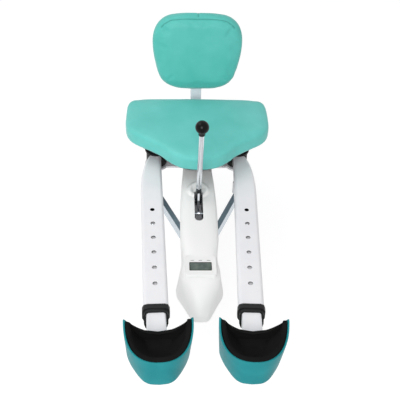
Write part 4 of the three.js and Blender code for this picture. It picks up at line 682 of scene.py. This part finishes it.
def cup_front(angle, share):
    """Where a ring's front runs, from the foot's outline at share 0 to the rim's at share 1."""
    turned = math.acos(min(abs(cos(angle)), 1)) / (pi / 2)
    wide, long = (float(np.interp(turned, cup_foot[:, 0], cup_foot[:, column])) for column in (1, 2))
    wide += share * (abs(cos(angle)) ** RIM_POWER - wide)
    long += share * (abs(sin(angle)) ** RIM_POWER - long)
    return math.copysign(wide, cos(angle)), -long


def cup_ring(side, inset, share, base, rear_lift=0, tip_lift=0, front_lift=0, lap=0, count=120):
    """A ring round the cup, a share of the way from its level base to its rim, drawn in by inset.

    The lifts raise its rear, its tips and its front, and lap carries it out over the rim.
    """
    ring = []
    half = CUP_WIDTH / 2 - inset
    for i in range(count):
        angle = 2 * pi * i / count
        rear = sin(angle) > 0
        depth = max(CUP_REAR_LENGTH - inset, 1) if rear else CUP_FRONT_LENGTH - inset
        wide, long = cup_front(angle, share)
        if rear:
            wide, long = math.copysign(abs(cos(angle)) ** REAR_POWER, cos(angle)), sin(angle) ** REAR_POWER
        x, y = half * wide, depth * long
        across = abs(wide)
        low = CUP_SADDLE_RISE if rear else CUP_FRONT_RISE
        climb = across ** REAR_CLIMB if rear else (1 + y / depth) ** FRONT_CLIMB
        lift = rear_lift + (tip_lift - rear_lift) * across ** TIP_CLIMB if rear else front_lift
        rim = LEG_TOP + low + (CUP_TIP_RISE - low) * climb + lift
        y += math.copysign(lap * (1 - across ** LAP_POWER), y)
        x += side * (LEG_OFFSET - CUP_SHIFT)
        ring.append(leg_frame(side) @ Vector((x, -CUP_REAR - CUP_REAR_LENGTH + y,
                                              base + share * (rim - base))))
    return ring


teal_pp, tree, shader, place = finish("teal_polypropylene", "278a90", 0.4, Specular_IOR_Level=0.12, IOR=1.3)
mould = add(tree, "ShaderNodeTexNoise", {"Scale": 1 / (1.1 * MM), "Detail": 2}, {"Vector": place})
bump = add(tree, "ShaderNodeBump", {"Strength": 0.07, "Distance": 0.1 * MM}, {"Height": mould.outputs["Fac"]})
tree.links.new(bump.outputs[0], shader.inputs["Normal"])
flow = add(tree, "ShaderNodeTexNoise", {"Scale": 1 / (45 * MM), "Detail": 3}, {"Vector": place})
tone = add(tree, "ShaderNodeValToRGB", links={"Fac": flow.outputs["Fac"]})
two_tones(tone, 0.3, "24858b", 0.7, "2b9096")
tree.links.new(tone.outputs["Color"], shader.inputs["Base Color"])

# Round the rim: how far it is drawn in, and its height
cup_rim = [(0, -1.2), (0.35, -0.35), (1.2, 0), (CUP_WALL - 1.2, 0), (CUP_WALL - 0.35, -0.35),
           (CUP_WALL, -1.2)]
cup_base = LEG_TOP - CUP_DEPTH
for side, hand in [(-1, "left"), (1, "right")]:
    outside = [cup_ring(side, CUP_TAPER * (1 - s) ** 1.5 + (0.6 if i == 0 else 0), s, cup_base)
               for i, s in enumerate([0, 0.02, 0.1, 0.2, 0.3, 0.4, 0.5, 0.6, 0.7, 0.8, 0.9, 0.97])]
    rim = [cup_ring(side, inset, 1, cup_base, lift, lift, lift) for inset, lift in cup_rim]
    inside = [cup_ring(side, CUP_WALL + CUP_TAPER * 0.5 * (1 - s), s, CUP_FLOOR_Z)
              for s in [0.95, 0.8, 0.6, 0.4, 0.2, 0.08, 0]]
    shell = skin(f"cup_scoop_{hand}", [*outside, *rim, *inside])
    skirt = cup_ring(side, CUP_TAPER + CUP_WALL, 0, cup_base - 5)
    hollow = skin("hollow", [skirt, [Vector((p.x, p.y, CUP_FLOOR_Z - CUP_WALL)) for p in skirt]])
    notch_ends = [-CUP_REAR - CUP_REAR_LENGTH, -CUP_REAR + CUP_REAR_LENGTH]
    notch = skin("notch", [[leg_frame(side) @ Vector((side * LEG_OFFSET + a, y, z)) for a, z in [
        (-NOTCH_HALF, NOTCH_LOW), (NOTCH_HALF, NOTCH_LOW),
        (NOTCH_HALF, CUP_FLOOR_Z - CUP_WALL), (-NOTCH_HALF, CUP_FLOOR_Z - CUP_WALL)]] for y in notch_ends])
    carve(shell, hollow, notch)
    shell.data.materials.clear()
    shell.data.materials.append(teal_pp)
    for face in shell.data.polygons:
        face.use_smooth = True
    shell.modifiers.new("even", "WEIGHTED_NORMAL")
    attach(shell, f"extension_{hand}")
    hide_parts(f"cup_shell_{hand}")


# ---- Cup pads ----
# Closed-cell black foam, moulded to line the scoop, with a soft rolled rim that laps over its edge
# and a matt, pored face.
foam, tree, shader, place = finish("black_eva_foam", "141414", 0.9, Specular_IOR_Level=0.06)
pores = add(tree, "ShaderNodeTexVoronoi", {"Scale": 1 / (1.6 * MM), "Randomness": 1}, {"Vector": place})
bump = add(tree, "ShaderNodeBump", {"Strength": 0.4, "Distance": 0.25 * MM},
           {"Height": pores.outputs["Distance"]})
tree.links.new(bump.outputs[0], shader.inputs["Normal"])
cloud = add(tree, "ShaderNodeTexNoise", {"Scale": 1 / (25 * MM), "Detail": 3}, {"Vector": place})
tone = add(tree, "ShaderNodeValToRGB", links={"Fac": cloud.outputs["Fac"]})
two_tones(tone, 0, "121212", 1, "1c1c1c")
tree.links.new(tone.outputs["Color"], shader.inputs["Base Color"])

CUP_PAD, PAD_GAP, PAD_FLOOR, PAD_BOWL = 9, 1.8, 2, 2.2
PAD_REAR_LIFT, PAD_TIP_LIFT, PAD_FRONT_LIFT, PAD_ROLL_LIFT = 6, -2, 1, 2.4
pad_lifts = {"rear_lift": PAD_REAR_LIFT, "tip_lift": PAD_TIP_LIFT, "front_lift": PAD_FRONT_LIFT}
# Round the rolled rim: how far it is drawn in, its drop, and how far it laps over the scoop's edge
pad_rim = [(0, 2, 0), (0, 1.8, 3.5), (0, 1, 5), (0.7, 0.4, 4), (2.2, 0, 2), (CUP_PAD - 3, 0, 0),
           (CUP_PAD - 1, 1, 0), (CUP_PAD, 3, 0)]
gap = CUP_WALL + PAD_GAP
base = CUP_FLOOR_Z + CLEARANCE
for side, hand in [(-1, "left"), (1, "right")]:
    outside = [cup_ring(side, gap + CUP_TAPER * 0.5 * (1 - s), s, base, **pad_lifts)
               for s in [0, 0.1, 0.3, 0.5, 0.7, 0.85, 0.95]]
    rim = [cup_ring(side, gap + inset, 1, base, PAD_REAR_LIFT - drop, PAD_TIP_LIFT - drop,
                    PAD_ROLL_LIFT - drop, lap)
           for inset, drop, lap in pad_rim]
    inside = [cup_ring(side, gap + CUP_PAD + CUP_WIDTH / 5 * (1 - s) ** PAD_BOWL, s,
                       base + PAD_FLOOR, **pad_lifts)
              for s in [0.92, 0.82, 0.7, 0.58, 0.46, 0.34, 0.24, 0.16, 0.1, 0.05, 0]]
    pad = skin(f"cup_lining_{hand}", [*outside, *rim, *inside])
    pad.data.materials.append(foam)
    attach(pad, f"extension_{hand}")
    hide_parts(f"cup_pad_{hand}")


# ---- Seat and back boards ----
# Plywood boards that carry the cushions, wrapped in a thin black dust cloth: a felted fabric with
# short crossed fibres.
dust_cloth, tree, shader, place = finish("black_dust_cloth", "232325", 0.95, Specular_IOR_Level=0.1,
                                         Sheen_Weight=0.2)
fibres = add(tree, "ShaderNodeTexNoise", {"Scale": 1 / (1.4 * MM), "Detail": 5, "Distortion": 2.5},
             {"Vector": place})
tone = add(tree, "ShaderNodeValToRGB", links={"Fac": fibres.outputs["Fac"]})
two_tones(tone, 0.3, "19191b", 0.7, "303032")
tree.links.new(tone.outputs["Color"], shader.inputs["Base Color"])
bump = add(tree, "ShaderNodeBump", {"Strength": 0.4, "Distance": 0.2 * MM}, {"Height": fibres.outputs["Fac"]})
tree.links.new(bump.outputs[0], shader.inputs["Normal"])
machined("seat_board", dust_cloth, 1.2)
machined("back_board", dust_cloth, 1.2)


# ---- Seat cushion ----
# Upholstery vinyl over foam: a flat, slightly crowned top whose edge rolls over to a plain side band.
# The outline is given for one half, as shares of the half width and of the length.
SEAT_WIDTH, SEAT_FRONT, SEAT_LENGTH, SEAT_BOTTOM, SEAT_THICKNESS, SEAT_CROWN = 412, 112, 299, 290.3, 50, 5
SEAT_MIDDLE, SEAT_POINTS, SEAT_REACH, SEAT_GRAIN = 0.55, 260, 1.4, 6
seat_half = [
    (0, 1), (0.5, 0.994), (0.83, 0.978), (0.94, 0.955), (0.983, 0.9), (0.997, 0.8), (1, 0.68),
    (0.99, 0.535), (0.96, 0.468), (0.895, 0.405), (0.768, 0.338), (0.635, 0.274), (0.523, 0.212),
    (0.445, 0.151), (0.36, 0.089), (0.23, 0.026), (0, 0),
]


SPAN_STEPS = 24


def mirrored(half_shares, width, length, count):
    """A smooth closed outline of even steps, mirrored from its half, as pairs in millimetres."""
    half = [(a * width / 2, b * length) for a, b in half_shares]
    points = [Vector((*p, 0)) for p in half + [(-a, b) for a, b in half[-2:0:-1]]]
    dense = []
    for i in range(len(points)):
        p0, p1, p2, p3 = (points[(i + k) % len(points)] for k in (-1, 0, 1, 2))
        t0 = 0
        t1 = t0 + (p1 - p0).length ** 0.5
        t2 = t1 + (p2 - p1).length ** 0.5
        t3 = t2 + (p3 - p2).length ** 0.5
        for step in range(SPAN_STEPS):
            t = t1 + (t2 - t1) * step / SPAN_STEPS
            a1 = p0 * ((t1 - t) / (t1 - t0)) + p1 * ((t - t0) / (t1 - t0))
            a2 = p1 * ((t2 - t) / (t2 - t1)) + p2 * ((t - t1) / (t2 - t1))
            a3 = p2 * ((t3 - t) / (t3 - t2)) + p3 * ((t - t2) / (t3 - t2))
            b1 = a1 * ((t2 - t) / (t2 - t0)) + a2 * ((t - t0) / (t2 - t0))
            b2 = a2 * ((t3 - t) / (t3 - t1)) + a3 * ((t - t1) / (t3 - t1))
            dense.append(b1 * ((t2 - t) / (t2 - t1)) + b2 * ((t - t1) / (t2 - t1)))
    ways = np.cumsum([0] + [(dense[(i + 1) % len(dense)] - dense[i]).length for i in range(len(dense))])
    picks = np.linspace(0, ways[-1], count, endpoint=False)
    loop = dense + dense[:1]
    x = np.interp(picks, ways, [p.x for p in loop])
    y = np.interp(picks, ways, [p.y for p in loop])
    return list(zip(x, y))


def cushion(name, outline, middle, profile, thickness, place):
    """A closed pad: rings of its outline, drawn in towards its middle, at shares of its thickness."""
    rings = [[place(a * drawn, middle + (b - middle) * drawn, rise * thickness) for a, b in outline]
             for drawn, rise in profile]
    return skin(name, rings)


SIDE_RINGS, FACE_RINGS, FACE_STEP = 26, 22, 0.04


def cushion_profile(side_rows, crown, thickness):
    """The side of a cushion and then its crowned face, as drawn-in shares and rises."""
    spaced = [(i / (len(side_rows) - 1), *row) for i, row in enumerate(side_rows)]
    side = smooth_table(spaced, SIDE_RINGS)[:, 1:].tolist()
    face = [(d, 1 + crown / (thickness - crown) * (1 - d * d))
            for d in np.linspace(side_rows[-1][0] - FACE_STEP, FACE_STEP, FACE_RINGS)]
    return [tuple(row) for row in side] + face


seat_side = [
    (0.955, 0), (0.985, 0.05), (0.998, 0.2), (1.002, 0.45), (1, 0.74), (0.992, 0.89), (0.972, 0.97),
    (0.94, 1),
]
PRESSURE, CLOTH_STEPS, HELD_WITHIN = 4, 20, 5


def upholster(piece, foot, way, reach, grain):
    """Fills a pad with pressure under its cover, held where it lies on its board, and smooths the result.

    No point moves further than its reach, so the outline stays.
    """
    remesh = piece.modifiers.new("remesh", "REMESH")
    remesh.mode = "VOXEL"
    remesh.voxel_size = grain * MM
    settle(piece)
    mesh = piece.data
    start = [vertex.co.copy() for vertex in mesh.vertices]
    group = piece.vertex_groups.new(name="held")
    group.add([i for i, p in enumerate(start) if (p - foot).dot(way) < HELD_WITHIN * MM], 1, "REPLACE")
    cloth = piece.modifiers.new("cloth", "CLOTH")
    cloth.settings.use_pressure = True
    cloth.settings.uniform_pressure_force = PRESSURE
    cloth.settings.vertex_group_mass = "held"
    cloth.settings.effector_weights.gravity = 0
    for step in range(1, CLOTH_STEPS + 1):
        scene.frame_set(step)
    settle(piece)
    for vertex, first in zip(piece.data.vertices, start):
        move = vertex.co - first
        vertex.co = first + move * min(1, reach * MM / max(move.length, 1e-9))
    scene.frame_set(1)
    piece.modifiers.new("smooth", "SUBSURF").levels = 1
    settle(piece)
    for face in piece.data.polygons:
        face.use_smooth = True


seat_outline = mirrored(seat_half, SEAT_WIDTH, SEAT_LENGTH, SEAT_POINTS)
seat = cushion("seat_pad", seat_outline, SEAT_LENGTH * SEAT_MIDDLE,
               cushion_profile(seat_side, SEAT_CROWN, SEAT_THICKNESS), SEAT_THICKNESS - SEAT_CROWN,
               lambda a, b, c: Vector((a, SEAT_FRONT + b, SEAT_BOTTOM + c)))
upholster(seat, Vector((0, 0, SEAT_BOTTOM * MM)), Vector((0, 0, 1)), SEAT_REACH, SEAT_GRAIN)


# Vinyl: soft semi-gloss, with a pebbled grain about 1.5 mm across, drawn twice that size to show
def upholstery(name, dark, light):
    """A teal vinyl whose tone wanders a little between two colours."""
    vinyl, tree, shader, place = finish(name, light, 0.5, Sheen_Weight=0.2, Sheen_Roughness=0.4,
                                        Specular_IOR_Level=0.3)
    pebble = add(tree, "ShaderNodeTexVoronoi", {"Scale": 1 / (3 * MM), "Randomness": 1}, {"Vector": place},
                 feature="SMOOTH_F1")
    crease = add(tree, "ShaderNodeTexNoise", {"Scale": 1 / (7 * MM), "Detail": 5, "Roughness": 0.6},
                 {"Vector": place})
    height = add(tree, "ShaderNodeMath", {1: 0.6}, {0: pebble.outputs["Distance"], 2: crease.outputs["Fac"]},
                 operation="MULTIPLY_ADD")
    bump = add(tree, "ShaderNodeBump", {"Strength": 0.12, "Distance": 0.3 * MM},
               {"Height": height.outputs[0]})
    tree.links.new(bump.outputs[0], shader.inputs["Normal"])
    cloud = add(tree, "ShaderNodeTexNoise", {"Scale": 1 / (60 * MM), "Detail": 4}, {"Vector": place})
    tone = add(tree, "ShaderNodeValToRGB", links={"Fac": cloud.outputs["Fac"]})
    two_tones(tone, 0.3, dark, 0.7, light)
    tree.links.new(tone.outputs["Color"], shader.inputs["Base Color"])
    return vinyl


seat.data.materials.append(upholstery("teal_seat_vinyl", "63c8c0", "6fd0c9"))
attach(seat, "base")
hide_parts("seat_cushion")


# ---- Back cushion ----
# The same vinyl, pulled over a thinner pad, and a tone deeper: painted shade on its upright face. A seam runs
# where the top of its face meets the band round it, and another crosses that band at its middle.
BACK_HEIGHT, BACK_WIDTH, BACK_THICKNESS, BACK_CROWN, BACK_LEAN = 224, 260, 42, 5, 9.6
BACK_FOOT_Y, BACK_FOOT_Z, BACK_MIDDLE, BACK_POINTS, BACK_REACH, BACK_GRAIN = 412, 357, 0.52, 220, 3, 5
back_half = [
    (0, -0.014), (0.41, -0.006), (0.675, 0.045), (0.81, 0.12), (0.887, 0.22), (0.943, 0.35),
    (0.982, 0.47), (0.999, 0.58), (0.995, 0.68), (0.965, 0.775), (0.9, 0.858), (0.795, 0.927),
    (0.64, 0.974), (0.37, 0.997), (0, 1),
]
back_side = [
    (0.955, 0), (0.985, 0.05), (0.998, 0.2), (1, 0.36), (0.992, 0.58), (0.968, 0.8), (0.925, 0.94), (0.88, 1),
]
back_middle = BACK_HEIGHT * BACK_MIDDLE
back_place = Matrix.Translation((0, BACK_FOOT_Y, BACK_FOOT_Z)) @ Matrix.Rotation(radians(-BACK_LEAN), 4, "X")
back = cushion("back_pad", mirrored(back_half, BACK_WIDTH, BACK_HEIGHT, BACK_POINTS), back_middle,
               cushion_profile(back_side, BACK_CROWN, BACK_THICKNESS), BACK_THICKNESS - BACK_CROWN,
               lambda a, b, c: back_place @ Vector((a, BACK_THICKNESS - c, b)))
back_way = -(machine.to_3x3() @ back_place.to_3x3() @ Vector((0, 1, 0))).normalized()
upholster(back, machine @ back_place @ Vector((0, BACK_THICKNESS, 0)), back_way, BACK_REACH, BACK_GRAIN)

# A darker copy of the seat's vinyl: painted shade on the back's upright face
back_vinyl_painted_shade = upholstery("teal_vinyl_back_painted_shade", "54beb4", "60c6bd")
# Darker vinyl for the line in each seam: painted shade in the groove
seam_shade_vinyl = upholstery("teal_vinyl_seam_painted_shade", "44a097", "4caaa1")

# The seams are drawn into the foam by their depth; their places are shares of the pad's height and depth
SEAM_DEPTH, SEAM_SPREAD, LINE_RADIUS, LINE_SINK = 1.8, 2.8, 0.8, 0.9
FACE_SEAM_FROM, FACE_SEAM_DRAWN, FACE_SEAM_RISE, SEAM_POINTS = 0.87, 0.925, 0.94, 300
BAND_SEAM_FROM, BAND_SEAM_TO, BAND_SEAM_POINTS, BAND_ROUND = 0.1, 0.7, 18, 0.1
back_outline = mirrored(back_half, BACK_WIDTH, BACK_HEIGHT, SEAM_POINTS)


def on_back(a, b, drawn, rise):
    """A point near the back pad's side, at a place of its outline, drawn in and risen as its profile is."""
    depth = BACK_THICKNESS - rise * (BACK_THICKNESS - BACK_CROWN)
    return machine @ back_place @ Vector((a * drawn, depth, back_middle + (b - back_middle) * drawn))


face_seam = [on_back(a, b, FACE_SEAM_DRAWN, FACE_SEAM_RISE) for a, b in back_outline
             if b > FACE_SEAM_FROM * BACK_HEIGHT]
band_seam = [on_back(0, BACK_HEIGHT, 1 - BAND_ROUND * rise ** 3, rise)
             for rise in np.linspace(BAND_SEAM_FROM, BAND_SEAM_TO, BAND_SEAM_POINTS)]


def seam(name, pad, path):
    """Sinks a groove along a path on a pad and lays a thin line of darker vinyl in it, as painted shade in
    the groove.
    """
    surface = BVHTree.FromObject(pad, bpy.context.evaluated_depsgraph_get())
    hits = [surface.find_nearest(p)[:2] for p in path]
    ways = KDTree(len(hits))
    for i, (spot, _) in enumerate(hits):
        ways.insert(spot, i)
    ways.balance()
    for vertex in pad.data.vertices:
        away = ways.find(vertex.co)[2] / (SEAM_SPREAD * MM)
        vertex.co -= vertex.normal * SEAM_DEPTH * MM * math.exp(-away ** 2)
    curve = bpy.data.curves.new(name, "CURVE")
    curve.dimensions = "3D"
    curve.bevel_depth = LINE_RADIUS * MM
    curve.bevel_resolution = 2
    line = curve.splines.new("POLY")
    line.points.add(len(hits) - 1)
    for point, (spot, normal) in zip(line.points, hits):
        point.co = (*(spot - normal * LINE_SINK * MM), 1)
    drawn = bpy.data.objects.new(name, curve)
    scene.collection.objects.link(drawn)
    line_mesh = bpy.data.meshes.new_from_object(drawn)
    bpy.data.objects.remove(drawn)
    piece = bpy.data.objects.new(name, line_mesh)
    scene.collection.objects.link(piece)
    piece.data.materials.append(seam_shade_vinyl)
    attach(piece, "backrest")


seam("back_face_seam", back, face_seam)
seam("back_band_seam", back, band_seam)
back.data.materials.append(back_vinyl_painted_shade)
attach(back, "backrest")
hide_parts("back_cushion")


# ---- Finish ----
# The view layer is brought up to date.
bpy.context.view_layer.update()
